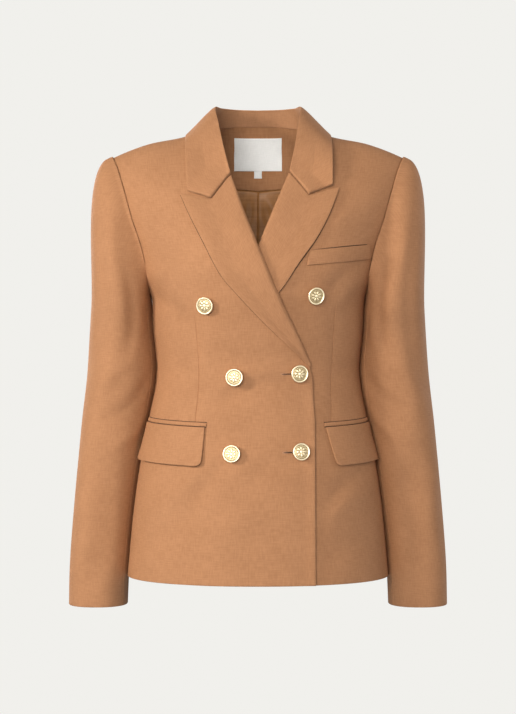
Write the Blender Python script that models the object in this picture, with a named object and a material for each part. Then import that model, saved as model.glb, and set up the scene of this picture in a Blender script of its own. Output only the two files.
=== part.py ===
"""Double breasted blazer in its worn, hollow form.

Metres, +Z up, +X to the wearer's left, the front towards -Y. The origin lies in the middle of
the neck, at the height where the collar meets the shoulders, because that is where the wearer
holds the jacket up. Every piece is a wall of cloth laid on one smooth body form.
"""

import math

import bmesh
import bpy
import numpy as np
from mathutils import Vector
from mathutils.bvhtree import BVHTree

# ---------------------------------------------------------------- driving sizes, metres
SHELL_WALL = 0.0016          # fronts, back and sleeves
LAPEL_WALL = 0.0016
COLLAR_WALL = 0.0016
FLAP_WALL = 0.0016
LINING_WALL = 0.0010         # lining, back neck facing and label
SEAM_GAP = 0.0003
LAYER_GAP = 0.0006           # between a piece and the panel that it lies on
LINING_GAP = 0.0018          # the lining hangs this far inside the back
LAPEL_ROOM = 0.0011          # between the under lapel and the top front that covers it

HEM_HEIGHT = -0.605
WAIST_HEIGHT = -0.325
UNDERARM_HEIGHT = -0.215
SHOULDER_TIP_HEIGHT = -0.030
CUFF_HEIGHT = -0.646
SEAM_PLANE_Y = 0.004         # shoulder seams and side seams lie in this plane
ROUND_START = -0.110         # above this height the chest and back roll over to the shoulder
ROUND_POWER = 2.2
ROUND_BLEND = 0.75           # share of the roll where the normals turn to the shoulder's
OVERLAP_EDGE_X = -0.058      # the under front ends here, below the top front
OVERLAP_RAMP = 0.040

BUTTON_DIAMETER = 0.023
BUTTON_HEIGHT = 0.0066
BUTTON_SIDES = 16

CLOTH_COLOUR = (0.52, 0.235, 0.103)
LINING_COLOUR = (0.26, 0.105, 0.030)
LABEL_COLOUR = (0.66, 0.66, 0.62)
BUTTON_COLOUR = (0.83, 0.66, 0.36)


def table(columns, *rows):
    """A table with named columns, as arrays."""
    names = columns.split()
    return {name: np.array([row[i] for row in rows], float) for i, name in enumerate(names)}


# ---------------------------------------------------------------- the body form
BODY = table(
    "height  half_width front_depth back_depth power",
    (-0.605, 0.1800, 0.128, 0.120, 2.2),
    (-0.502, 0.1700, 0.121, 0.114, 2.2),
    (-0.441, 0.1610, 0.115, 0.109, 2.2),
    (-0.393, 0.1515, 0.109, 0.103, 2.2),
    (-0.325, 0.1400, 0.103, 0.094, 2.2),
    (-0.269, 0.1445, 0.112, 0.099, 2.25),
    (-0.215, 0.1495, 0.122, 0.105, 2.3),
    (-0.195, 0.1570, 0.124, 0.107, 2.3),
    (-0.156, 0.1700, 0.1165, 0.109, 2.35),
    (-0.120, 0.1850, 0.104, 0.108, 2.4),
    (-0.078, 0.2000, 0.086, 0.102, 2.4),
    (-0.030, 0.2120, 0.064, 0.096, 2.4),
    (0.060, 0.2200, 0.045, 0.082, 2.4),
)
SHOULDER = table(
    "x      height",
    (0.0000, 0.055),
    (0.0200, 0.051),
    (0.0400, 0.038),
    (0.0580, 0.022),
    (0.0740, 0.008),
    (0.0976, 0.000),
    (0.1540, -0.012),
    (0.2000, -0.030),
    (0.2200, -0.040),
)
ARMHOLE = table(
    "height  front_x back_x",
    (-0.215, 0.1495, 0.1495),
    (-0.205, 0.1500, 0.1502),
    (-0.195, 0.1505, 0.1515),
    (-0.156, 0.1580, 0.1610),
    (-0.120, 0.1700, 0.1730),
    (-0.078, 0.1820, 0.1860),
    (-0.045, 0.1930, 0.1945),
    (-0.030, 0.2000, 0.2000),
)
# the neckline, from the centre back (0) over the shoulder seam (3) to the gorge (6)
NECKLINE = table(
    "along x      height",
    (0, 0.0000, 0.0230),
    (1, 0.0320, 0.0222),
    (2, 0.0570, 0.0170),
    (3, 0.0740, 0.0080),
    (4, 0.0680, -0.0065),
    (5, 0.0570, -0.0310),
    (6, 0.0440, -0.0570),
)


def read(rows, key, value, at):
    """Read a smooth curve through one column of a table."""
    keys, values = rows[key], rows[value]
    steps = np.diff(keys)
    rises = np.diff(values) / steps
    slopes = np.empty_like(values)
    slopes[0], slopes[-1] = rises[0], rises[-1]
    slopes[1:-1] = (rises[:-1] * steps[1:] + rises[1:] * steps[:-1]) / (steps[:-1] + steps[1:])
    at = np.clip(at, keys[0], keys[-1])
    row = np.clip(np.searchsorted(keys, at) - 1, 0, len(steps) - 1)
    t = (at - keys[row]) / steps[row]
    return (
        values[row] * (1 + 2 * t) * (1 - t) ** 2
        + values[row + 1] * t * t * (3 - 2 * t)
        + steps[row] * (slopes[row] * t * (1 - t) ** 2 - slopes[row + 1] * t * t * (1 - t))
    )


def ramp(low, high, at):
    """0 below low, 1 above high, smooth between."""
    t = np.clip((at - low) / (high - low), 0, 1)
    return t * t * (3 - 2 * t)


def shoulder_height(x):
    return read(SHOULDER, "x", "height", np.abs(x))


def body_y(x, height, facing):
    """Depth of the form at x and height; facing is -1 for the front and 1 for the back."""
    power = read(BODY, "height", "power", height)
    share = np.clip(np.abs(x) / read(BODY, "height", "half_width", height), 0, 1)
    depth = np.where(
        np.asarray(facing) < 0,
        read(BODY, "height", "front_depth", height),
        read(BODY, "height", "back_depth", height),
    )
    rise = np.clip((height - ROUND_START) / (shoulder_height(x) - ROUND_START), 0, 1)
    roll = (1 - rise**ROUND_POWER) ** (1 / ROUND_POWER)
    return facing * (depth * (1 - share**power) ** (1 / power) * roll + SEAM_GAP / 2)


def form_value(x, y, height, facing):
    """Zero on the form, larger outside it."""
    power = read(BODY, "height", "power", height)
    share = np.abs(x) / read(BODY, "height", "half_width", height)
    depth = np.where(
        np.asarray(facing) < 0,
        read(BODY, "height", "front_depth", height),
        read(BODY, "height", "back_depth", height),
    )
    rise = np.clip((height - ROUND_START) / (shoulder_height(x) - ROUND_START), 0, 0.98)
    roll = (1 - rise**ROUND_POWER) ** (1 / ROUND_POWER)
    return share**power + (np.abs(y) / (depth * roll)) ** power


def unit(vectors):
    return vectors / np.linalg.norm(vectors, axis=-1, keepdims=True)


def body_normal(x, height, facing):
    """Outward normal of the form, the same for both panels along a seam."""
    crest = shoulder_height(x)
    rise = np.clip((height - ROUND_START) / (crest - ROUND_START), 0, 1)
    rolled = ROUND_START + np.minimum(rise, 0.97) * (crest - ROUND_START)
    level = np.where(height > ROUND_START, rolled, height)
    y = body_y(x, level, facing) - facing * SEAM_GAP / 2
    step = 1e-5
    slope = np.stack(
        (
            form_value(x + step, y, level, facing) - form_value(x - step, y, level, facing),
            form_value(x, y + step, level, facing) - form_value(x, y - step, level, facing),
            form_value(x, y, level + step, facing) - form_value(x, y, level - step, facing),
        ),
        -1,
    )
    fall = (shoulder_height(x + step) - shoulder_height(x - step)) / (2 * step)
    over = unit(np.stack((-fall, np.zeros_like(fall), np.ones_like(fall)), -1))
    blend = ramp(ROUND_BLEND, 1.0, rise)[..., None]
    return unit(unit(slope) * (1 - blend) + over * blend)


def body_point(x, height, facing, lift=0.0):
    """A point of the form, moved out along its normal by lift."""
    x, height, facing, lift = np.broadcast_arrays(x, height, facing, lift)
    base = np.stack((x, body_y(x, height, facing) + SEAM_PLANE_Y, height), -1)
    return base + body_normal(x, height, facing) * lift[..., None]


def top_front_lift(x, height):
    """How far the top front (the wearer's right) stands off the form where it laps over."""
    over = ramp(OVERLAP_EDGE_X - OVERLAP_RAMP, OVERLAP_EDGE_X - 0.002, x)
    below_crossing = 1 - ramp(-0.150, -0.105, height)
    on_lapel = ramp(-0.365, -0.325, height)
    stack = SHELL_WALL + LAYER_GAP + on_lapel * (LAPEL_WALL + LAPEL_ROOM)
    return over * below_crossing * stack


# ---------------------------------------------------------------- objects
def material(name, colour, roughness, metallic=0.0):
    finish = bpy.data.materials.new(name)
    finish.use_nodes = True
    shader = finish.node_tree.nodes["Principled BSDF"]
    shader.inputs["Base Color"].default_value = (*colour, 1.0)
    shader.inputs["Roughness"].default_value = roughness
    shader.inputs["Metallic"].default_value = metallic
    return finish


def add_object(name, mesh_data, colour, roughness=0.85, metallic=0.0):
    mesh_data.materials.append(material(name, colour, roughness, metallic))
    piece = bpy.data.objects.new(name, mesh_data)
    bpy.context.scene.collection.objects.link(piece)
    return piece


def cloth(name, outer, inner, colour=CLOTH_COLOUR):
    """A closed wall of cloth between an outer and an inner grid of points."""
    rows, columns = outer.shape[:2]
    shape = bmesh.new()
    sides = [
        [[shape.verts.new(grid[i, j]) for j in range(columns)] for i in range(rows)]
        for grid in (outer, inner)
    ]
    for side in sides:
        for i in range(rows - 1):
            for j in range(columns - 1):
                shape.faces.new((side[i][j], side[i][j + 1], side[i + 1][j + 1], side[i + 1][j]))
    around = (
        [(0, j) for j in range(columns - 1)]
        + [(i, columns - 1) for i in range(rows - 1)]
        + [(rows - 1, j) for j in range(columns - 1, 0, -1)]
        + [(i, 0) for i in range(rows - 1, 0, -1)]
    )
    for here, there in zip(around, around[1:] + around[:1]):
        shape.faces.new(
            (sides[0][here[0]][here[1]], sides[0][there[0]][there[1]],
             sides[1][there[0]][there[1]], sides[1][here[0]][here[1]])
        )
    bmesh.ops.recalc_face_normals(shape, faces=shape.faces)
    bmesh.ops.triangulate(shape, faces=shape.faces)
    mesh_data = bpy.data.meshes.new(name)
    shape.to_mesh(mesh_data)
    shape.free()
    mesh_data.shade_smooth()
    mesh_data.set_sharp_from_angle(angle=math.radians(40))
    return add_object(name, mesh_data, colour)


def on_body(name, x, height, facing, lift, wall, colour=CLOTH_COLOUR):
    """A wall of cloth on the form; lift is the height of its outer face."""
    outer = body_point(x, height, facing, lift)
    inner = body_point(x, height, facing, lift - wall)
    return cloth(name, outer, inner, colour)


# ---------------------------------------------------------------- fronts and back
# the inner edge of each half, in x towards its own side: level 0 is the hem, 1 the waist,
# 2 the underarm, 2.7 the start of the neckline and 3 the shoulder seam
TOP_FRONT_EDGE = table(
    "level x       height",
    (0.00, -0.0750, -0.605),
    (0.75, -0.0745, -0.390),
    (0.92, -0.0710, -0.340),
    (1.00, -0.0670, -0.316),
    (2.00, -0.0190, -0.205),
    (2.70, 0.0440, -0.057),
)
UNDER_FRONT_EDGE = table(
    "level x       height",
    (0.00, -0.0530, -0.605),
    (1.00, -0.0530, -0.316),
    (2.00, -0.0175, -0.205),
    (2.35, 0.0118, -0.131),
    (2.70, 0.0440, -0.057),
)
BACK_EDGE = table(
    "level x       height",
    (0.00, 0.00015, -0.605),
    (1.00, 0.00015, -0.325),
    (2.00, 0.00015, -0.205),
    (2.70, 0.00015, 0.023),
)
LEVELS = np.concatenate((np.linspace(0, 1, 7), np.linspace(1.25, 2, 4), np.linspace(2.1, 3, 10)))


def edge_points(edge, levels, neck_from, neck_to):
    """The inner edge of a half: its own table up to level 2.7, then the neckline."""
    x = np.interp(levels, edge["level"], edge["x"])
    height = np.interp(levels, edge["level"], edge["height"])
    along = neck_from + (neck_to - neck_from) * np.clip((levels - 2.7) / 0.3, 0, 1)
    on_neck = levels > 2.7
    x = np.where(on_neck, read(NECKLINE, "along", "x", along), x)
    height = np.where(on_neck, read(NECKLINE, "along", "height", along), height)
    return x, height


def side_points(levels, column):
    """The outer edge of a half: the side seam up to the underarm, then the armhole."""
    turn = math.pi * (1 - np.clip(levels - 2, 0, 1))
    middle = (SHOULDER_TIP_HEIGHT + UNDERARM_HEIGHT) / 2
    reach = (SHOULDER_TIP_HEIGHT - UNDERARM_HEIGHT) / 2
    below = np.interp(levels, (0, 1, 2), (HEM_HEIGHT, WAIST_HEIGHT, UNDERARM_HEIGHT))
    height = np.where(levels > 2, middle + reach * np.cos(turn), below)
    side_x = read(BODY, "height", "half_width", height)
    return np.where(levels > 2, read(ARMHOLE, "height", column, height), side_x), height


def angle_of(x, height):
    power = read(BODY, "height", "power", height)
    share = np.clip(np.abs(x) / read(BODY, "height", "half_width", height), 0, 1)
    return np.sign(x) * np.arcsin(share ** (power / 2))


def half_grid(edge_xz, side_xz, levels, columns):
    """Points of a half between its inner edge and its side, a row for each level."""
    across = np.linspace(0, 1, columns + 1)[None, :]
    edge_x, edge_z, side_x, side_z = (line[:, None] for line in (*edge_xz, *side_xz))
    upper = ramp(2.0, 2.6, levels)[:, None]
    straight_x = edge_x + (side_x - edge_x) * across
    level_z = edge_z + (side_z - edge_z) * across
    edge_rise = (edge_z - ROUND_START) / (shoulder_height(edge_x) - ROUND_START)
    side_rise = (side_z - ROUND_START) / (shoulder_height(side_x) - ROUND_START)
    crest = shoulder_height(straight_x) - ROUND_START
    rolled_z = ROUND_START + (edge_rise + (side_rise - edge_rise) * across) * crest
    height = level_z + (rolled_z - level_z) * upper
    edge_angle = angle_of(edge_x, edge_z)
    angle = edge_angle + (angle_of(side_x, side_z) - edge_angle) * across
    power = read(BODY, "height", "power", height)
    width = read(BODY, "height", "half_width", height)
    round_x = np.sign(angle) * width * np.abs(np.sin(angle)) ** (2 / power)
    return round_x + (straight_x - round_x) * upper, height


def make_fronts():
    for name, own_side, edge in (("front_right", -1, TOP_FRONT_EDGE), ("front_left", 1, UNDER_FRONT_EDGE)):
        edge_xz = edge_points(edge, LEVELS, 6, 3)
        x, height = half_grid(edge_xz, side_points(LEVELS, "front_x"), LEVELS, 14)
        x = x * own_side
        lift = top_front_lift(x, height) if own_side < 0 else 0.0
        on_body(name, x, height, -1, lift, SHELL_WALL)


def make_back():
    for name, own_side in (("back_right", -1), ("back_left", 1)):
        edge_xz = edge_points(BACK_EDGE, LEVELS, 0, 3)
        x, height = half_grid(edge_xz, side_points(LEVELS, "back_x"), LEVELS, 9)
        on_body(name, x * own_side, height, 1, 0.0, SHELL_WALL)


# ---------------------------------------------------------------- sleeves
# rings of the sleeve below the cap: inner and outer x, and y of the front and back
SLEEVE = table(
    "height  inner   outer   front   back",
    (-0.646, 0.1822, 0.2600, -0.032, 0.052),
    (-0.605, 0.1818, 0.2595, -0.031, 0.055),
    (-0.502, 0.1718, 0.2528, -0.031, 0.065),
    (-0.441, 0.1628, 0.2473, -0.033, 0.071),
    (-0.393, 0.1533, 0.2428, -0.035, 0.075),
    (-0.325, 0.1420, 0.2348, -0.041, 0.077),
    (-0.269, 0.1467, 0.2303, -0.0505, 0.0705),
    (-0.240, 0.1498, 0.2280, -0.058, 0.063),
)
SLEEVE_POWER = 2.3
CAP_END = -0.240
CAP_START_PULL = 0.60        # how far the cap stands out before it turns down
CAP_END_PULL = 0.90
FRONT_SEAM_TURN = math.radians(148)
BACK_SEAM_TURN = math.radians(-118)
SLEEVE_GAP = 3.5 * SEAM_GAP  # between the sleeve's cap and the armhole
SLEEVE_RADIUS = 0.045


def armhole_point(turn):
    """The armhole: turn 0 is the shoulder tip, a quarter turn the front, a half the underarm."""
    middle = (SHOULDER_TIP_HEIGHT + UNDERARM_HEIGHT) / 2
    reach = (SHOULDER_TIP_HEIGHT - UNDERARM_HEIGHT) / 2
    height = middle + reach * np.cos(turn)
    ahead = np.sin(turn) >= 0
    front_x, back_x = (read(ARMHOLE, "height", key, height) for key in ("front_x", "back_x"))
    facing = np.where(ahead, -1, 1)
    point = body_point(np.where(ahead, front_x, back_x), height, facing)
    away = unit(np.stack((0.8 + 0 * turn, -0.3 * np.sin(turn), 0.15 - 0.05 * np.cos(turn)), -1))
    return point + away * SLEEVE_GAP


def sleeve_ring(turn, height):
    inner, outer = (read(SLEEVE, "height", key, height) for key in ("inner", "outer"))
    front, back = (read(SLEEVE, "height", key, height) for key in ("front", "back"))
    round_x = np.sign(np.cos(turn)) * np.abs(np.cos(turn)) ** (2 / SLEEVE_POWER)
    round_y = np.sign(np.sin(turn)) * np.abs(np.sin(turn)) ** (2 / SLEEVE_POWER)
    x = (inner + outer) / 2 + (outer - inner) / 2 * round_x
    y = (front + back) / 2 - (back - front) / 2 * round_y
    return np.stack((x, y, height + 0 * x), -1)


def sleeve_point(turn, down):
    """A point of the left sleeve; down runs 0 to 1 over the cap and 1 to 2 to the cuff."""
    turn, down = np.broadcast_arrays(turn, down)
    height = CAP_END + (CUFF_HEIGHT - CAP_END) * np.clip(down - 1, 0, 1)
    ring = sleeve_ring(turn, height)
    start = armhole_point(turn)
    end = sleeve_ring(turn, np.full_like(height, CAP_END))
    below = sleeve_ring(turn, np.full_like(height, CAP_END - 0.002))
    reach = np.linalg.norm(end - start, axis=-1, keepdims=True)
    out = unit(np.stack((0.9 + 0 * turn, -0.30 * np.sin(turn), -0.20 + 0.30 * np.cos(turn)), -1))
    t = np.clip(down, 0, 1)[..., None]
    cap = (
        start * (1 + 2 * t) * (1 - t) ** 2
        + out * reach * CAP_START_PULL * t * (1 - t) ** 2
        + end * t * t * (3 - 2 * t)
        - unit(below - end) * reach * CAP_END_PULL * t * t * (1 - t)
    )
    return np.where(down[..., None] > 1, ring, cap)


def sleeve_normal(turn, down):
    step = 1e-4
    along = sleeve_point(turn, np.clip(down + step, 0, 2)) - sleeve_point(turn, np.clip(down - step, 0, 2))
    around = sleeve_point(turn + step, down) - sleeve_point(turn - step, down)
    return unit(np.cross(along, around))


def make_sleeves():
    downs = np.concatenate((np.linspace(0, 1, 8), np.linspace(1, 2, 10)[1:]))[:, None]
    gap_turn = SEAM_GAP / 2 / SLEEVE_RADIUS
    pieces = (
        ("top", np.linspace(BACK_SEAM_TURN + gap_turn, FRONT_SEAM_TURN - gap_turn, 13)),
        ("under", np.linspace(FRONT_SEAM_TURN + gap_turn, BACK_SEAM_TURN + 2 * math.pi - gap_turn, 8)),
    )
    for side_name, own_side in (("right", -1), ("left", 1)):
        for part_name, turns in pieces:
            outer = sleeve_point(turns[None, :], downs)
            inner = outer - SHELL_WALL * sleeve_normal(turns[None, :], downs)
            mirror = np.array((own_side, 1, 1))
            cloth(f"sleeve_{side_name}_{part_name}", outer * mirror, inner * mirror)


# ---------------------------------------------------------------- patches laid on the fronts
def patch(top, bottom, left, right):
    """Points between four edges; top and bottom run left to right, the others downwards."""
    across = np.linspace(0, 1, len(top))[None, :, None]
    down = np.linspace(0, 1, len(left))[:, None, None]
    corners = (
        (1 - across) * (1 - down) * top[0] + across * (1 - down) * top[-1]
        + (1 - across) * down * bottom[0] + across * down * bottom[-1]
    )
    return (
        (1 - down) * top[None] + down * bottom[None]
        + (1 - across) * left[:, None] + across * right[:, None] - corners
    )


def along_line(points, count):
    """Evenly spaced points along a run of straight stretches."""
    points = np.array(points, float)
    lengths = np.concatenate(([0], np.cumsum(np.linalg.norm(np.diff(points, axis=0), axis=1))))
    at = np.linspace(0, lengths[-1], count)
    return np.stack([np.interp(at, lengths, points[:, k]) for k in (0, 1)], -1)


# gorge and peak, in x towards the own side; the whole front leans a little, see lean()
GORGE_END = (0.0395, -0.0590)
NOTCH = (0.0647, -0.0930)
COLLAR_TIP = (0.0965, -0.0810)
PEAK_TIP = (0.1060, -0.0840)
LEAN_SHIFT = 0.0027
LEAN_SLOPE = 0.043
ROLL_BREAK_RIGHT = (-0.0680, -0.3160)
ROLL_BREAK_LEFT = (-0.0550, -0.3160)
LAPEL_EDGE_RIGHT = ((0.093, -0.112), (0.072, -0.153), (0.045, -0.201), (0.024, -0.225),
                    (-0.013, -0.2645), (-0.053, -0.304), (-0.0665, -0.3185))
LAPEL_EDGE_LEFT = ((0.096, -0.112), (0.078, -0.147), (0.053, -0.1825), (0.0286, -0.218),
                   (-0.008, -0.257), (-0.040, -0.296), (-0.0535, -0.3185))
LAPEL_ROLL = 0.0022          # how far the lapel springs off the front beside its roll line
LAPEL_COLUMNS = 6
LAPEL_ROWS = 14
ROLL_BOW = 0.0036            # both roll lines bow this far to the wearer's right
ROLL_BOW_HIGH = -0.060
ROLL_BOW_LOW = -0.290


def lean(point, own_side):
    """A point of the neck's front, given for one side, set to its place on that side."""
    x, height = point
    return own_side * x + LEAN_SHIFT, height + LEAN_SLOPE * own_side * x


def make_lapel(name, own_side, edge, roll_break):
    gorge_end, notch, peak = (np.array(lean(point, own_side)) for point in (GORGE_END, NOTCH, PEAK_TIP))
    gap = np.array((0, -3 * SEAM_GAP))
    to_notch = np.linspace(gorge_end, notch, LAPEL_COLUMNS // 2 + 1)
    to_peak = np.linspace(notch, peak, LAPEL_COLUMNS // 2 + 1)
    top = np.concatenate((to_notch, to_peak[1:])) + gap
    outer_edge = [top[-1]] + [(own_side * x, height) for x, height in edge]
    right = along_line(outer_edge, LAPEL_ROWS + 1)
    roll_end = np.array((own_side * roll_break[0], roll_break[1]))
    left = np.linspace(top[0], roll_end, LAPEL_ROWS + 1)
    bowed = np.clip((left[:, 1] - ROLL_BOW_HIGH) / (ROLL_BOW_LOW - ROLL_BOW_HIGH), 0, 1)
    left[:, 0] -= ROLL_BOW * np.sin(bowed * math.pi)
    bottom = np.linspace(roll_end, right[-1], LAPEL_COLUMNS + 1)
    grid = patch(top, bottom, left, right)
    x, height = grid[..., 0], grid[..., 1]
    base = top_front_lift(x, height) if own_side < 0 else 0.0 * x
    across = np.linspace(0, 1, LAPEL_COLUMNS + 1)[None, :]
    down = np.linspace(0, 1, LAPEL_ROWS + 1)[:, None]
    spring = LAPEL_ROLL * np.exp(-((across - 0.12) / 0.22) ** 2) * ramp(-0.31, -0.20, height)
    spring = spring * ramp(0, 0.25, down)
    if own_side > 0:
        spring = spring * ramp(-0.150, -0.110, height)
    on_body(name, x, height, -1, base + LAYER_GAP + LAPEL_WALL + spring, LAPEL_WALL)


def strip_on_front(name, own_side, corners, shape, wall, round_corner=0.0):
    """A four-cornered piece on a front: corners run top front, top side, low side, low front."""
    columns, rows = shape
    top_front, top_side, low_side, low_front = (np.array(corner, float) for corner in corners)
    down = np.linspace(0, 1, rows + 1)
    left = top_front + (low_front - top_front) * down[:, None]
    right = top_side + (low_side - top_side) * down[:, None]
    across = np.linspace(0, 1, columns + 1)
    top = top_front + (top_side - top_front) * across[:, None]
    bottom = low_front + (low_side - low_front) * across[:, None]
    grid = patch(top, bottom, left, right)
    if round_corner:
        near = np.exp(-across[None, :] * 9.0) * down[:, None] ** 8
        grid[..., 1] += near * round_corner
    angle, height = grid[..., 0], grid[..., 1]
    power = read(BODY, "height", "power", height)
    width = read(BODY, "height", "half_width", height)
    x = own_side * np.sign(angle) * width * np.abs(np.sin(angle)) ** (2 / power)
    base = top_front_lift(x, height) if own_side < 0 else 0.0 * x
    return on_body(name, x, height, -1, base + LAYER_GAP + wall, wall)


def girth(x, height):
    """The turn round the body, from the centre front, of a point at x."""
    return float(angle_of(np.array(x), np.array(height)))


FLAP_TOP = -0.3985
FLAP_BOTTOM = -0.4500
FLAP_SIDE_BOTTOM = -0.4450
JETTING_HEIGHT = 0.006
FLAP_SIDE_TURN = math.radians(80)
# x of the flap's front edge at its top and its bottom
FLAP_FRONT_X = {"right": (0.0690, 0.0735), "left": (0.0895, 0.1025)}
WELT_CORNERS = ((0.0670, -0.1650), (0.1480, -0.1540), (0.1505, -0.1730), (0.0640, -0.1850))


def make_pockets():
    for side_name, own_side in (("right", -1), ("left", 1)):
        top_x, bottom_x = FLAP_FRONT_X[side_name]
        top_z = FLAP_TOP
        front_top = (girth(top_x, top_z), top_z)
        side_top = (FLAP_SIDE_TURN, top_z + 0.005)
        side_low = (FLAP_SIDE_TURN + 0.02, FLAP_SIDE_BOTTOM)
        front_low = (girth(bottom_x, FLAP_BOTTOM), FLAP_BOTTOM)
        corners = (front_top, side_top, side_low, front_low)
        strip_on_front(f"flap_{side_name}", own_side, corners, (9, 4), FLAP_WALL, round_corner=0.004)
        up = JETTING_HEIGHT
        jet_low = SEAM_GAP * 2
        corners = (
            (front_top[0] - 0.01, top_z + jet_low + up), (side_top[0], side_top[1] + jet_low + up),
            (side_top[0], side_top[1] + jet_low), (front_top[0] - 0.01, top_z + jet_low),
        )
        strip_on_front(f"jetting_{side_name}", own_side, corners, (9, 1), LINING_WALL)
    corners = [(girth(x, height), height) for x, height in WELT_CORNERS]
    strip_on_front("breast_welt", 1, corners, (7, 2), FLAP_WALL)


# ---------------------------------------------------------------- collar
# stations round the neck, centre back 0, shoulder 3, gorge 6: the fold, then the outer edge
COLLAR = table(
    "along fold_x  fold_y   fold_z   edge_x  edge_y   edge_z",
    (0, 0.0000, 0.0620, 0.0442, 0.0000, 0.0870, -0.0060),
    (1, 0.0305, 0.0575, 0.0444, 0.0430, 0.0840, -0.0060),
    (2, 0.0518, 0.0380, 0.0436, 0.0830, 0.0590, -0.0045),
    (3, 0.0608, 0.0060, 0.0400, 0.0985, 0.0060, 0.0030),
    (4, 0.0565, -0.0250, 0.0150, 0.1000, -0.0380, -0.0140),
    (5, 0.0495, -0.0520, -0.0200, 0.0985, -0.0660, -0.0470),
    (6, 0.0395, -0.0745, -0.0590, 0.0965, -0.0790, -0.0810),
)
COLLAR_LEAN = table("along share", (0, 0.0), (3, 0.0), (4, 0.3), (5, 0.7), (6, 1.0))
CREST_PULL = 0.020           # how wide the fall turns at the fold
CREST_COVER = 0.0022         # the fall starts this far inside the fold, over the stand
FALL_ROWS = (0, 0.04, 0.10, 0.20, 0.36, 0.58, 0.80, 1.0)
COLLAR_CLEAR = 2 * LAYER_GAP + COLLAR_WALL
STAND_OFF_REACH = 0.008
NOTCH_ROW = 5                # the row of the fall that meets the notch
CHEST_PULL = 4               # stations over which the collar's end turns to the gorge


def shoulder_surface():
    """The outer faces of the shoulders, as one surface to lay the collar on."""
    corners, faces = [], []
    turns = np.linspace(0, math.pi, 41)[:, None]
    for own_side in (-1, 1):
        across = np.linspace(0.060, 0.140, 25)[None, :] * own_side
        low = -0.110
        height = low + (shoulder_height(across) - low) * np.sin(turns)
        facing = np.where(turns < math.pi / 2, -1, 1)
        grid = body_point(across, height, facing).reshape(-1, 3)
        first = len(corners)
        corners += [Vector(point) for point in grid]
        for i in range(40):
            for j in range(24):
                start = first + 25 * i + j
                face = (start, start + 1, start + 26, start + 25)
                faces.append(face if own_side > 0 else face[::-1])
    return BVHTree.FromPolygons(corners, faces)


def stand_off(points, surface, clear):
    """Move points that lie closer than clear to the shoulders out to that distance."""
    moved = points.copy()
    for place in np.ndindex(points.shape[:-1]):
        point = Vector(points[place])
        foot, normal, _, _ = surface.find_nearest(point)
        if normal.z < 0:
            normal = -normal
        height = (point - foot).dot(normal)
        if height < clear and (point - foot).length < STAND_OFF_REACH:
            moved[place] = point + normal * (clear - height)
    return moved


def leaned(points, along, own_side):
    """The front of the collar leans with the lapels."""
    share = read(COLLAR_LEAN, "along", "share", along)[..., None]
    shifted = points * np.array((own_side, 1, 1))
    lifted = np.stack((np.full_like(shifted[..., 0], LEAN_SHIFT), 0 * shifted[..., 0],
                       LEAN_SLOPE * shifted[..., 0]), -1)
    return shifted + share * lifted


def neck_points(along):
    """The panels' neckline, straight between its rows, as the panels are."""
    x = NECKLINE["x"]
    height = np.minimum(NECKLINE["height"], shoulder_height(x))
    facing = np.where(NECKLINE["along"] > 3, -1, 1)
    corners = body_point(x, height, facing)
    return np.stack([np.interp(along, NECKLINE["along"], corners[:, k]) for k in range(3)], -1)


def collar_lines(signed_along):
    """Fold, edge and seam points at stations from -6 (right gorge) to 6 (left gorge)."""
    along = np.abs(signed_along)
    own_side = np.where(signed_along < 0, -1.0, 1.0)
    lines = []
    for keys in (("fold_x", "fold_y", "fold_z"), ("edge_x", "edge_y", "edge_z")):
        points = np.stack([read(COLLAR, "along", key, along) for key in keys], -1)
        lines.append(np.array([leaned(p, a, s) for p, a, s in zip(points, along, own_side)]))
    seam = np.array([leaned(p, a, s) for p, a, s in zip(neck_points(along), along, own_side)])
    return lines[0], lines[1], seam


def lay_front(points, along, clear):
    """Keep the collar's front clear of the chest.

    Gives the points moved straight forward, the share of each that counts, and the chest's normals.
    """
    x, height = points[..., 0], points[..., 2]
    ahead = np.full_like(x, -1.0)
    normal = body_normal(x, height, ahead)
    chest = body_y(x, height, ahead) + SEAM_PLANE_Y + clear / np.minimum(normal[..., 1], -0.2)
    laid = points.copy()
    laid[..., 1] = np.minimum(points[..., 1], chest)
    share = ramp(3.5, 4.5, along)[None, :, None]
    return laid, share, normal


def sheet_normals(grid):
    return unit(np.cross(np.gradient(grid, axis=0), np.gradient(grid, axis=1)))


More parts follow.
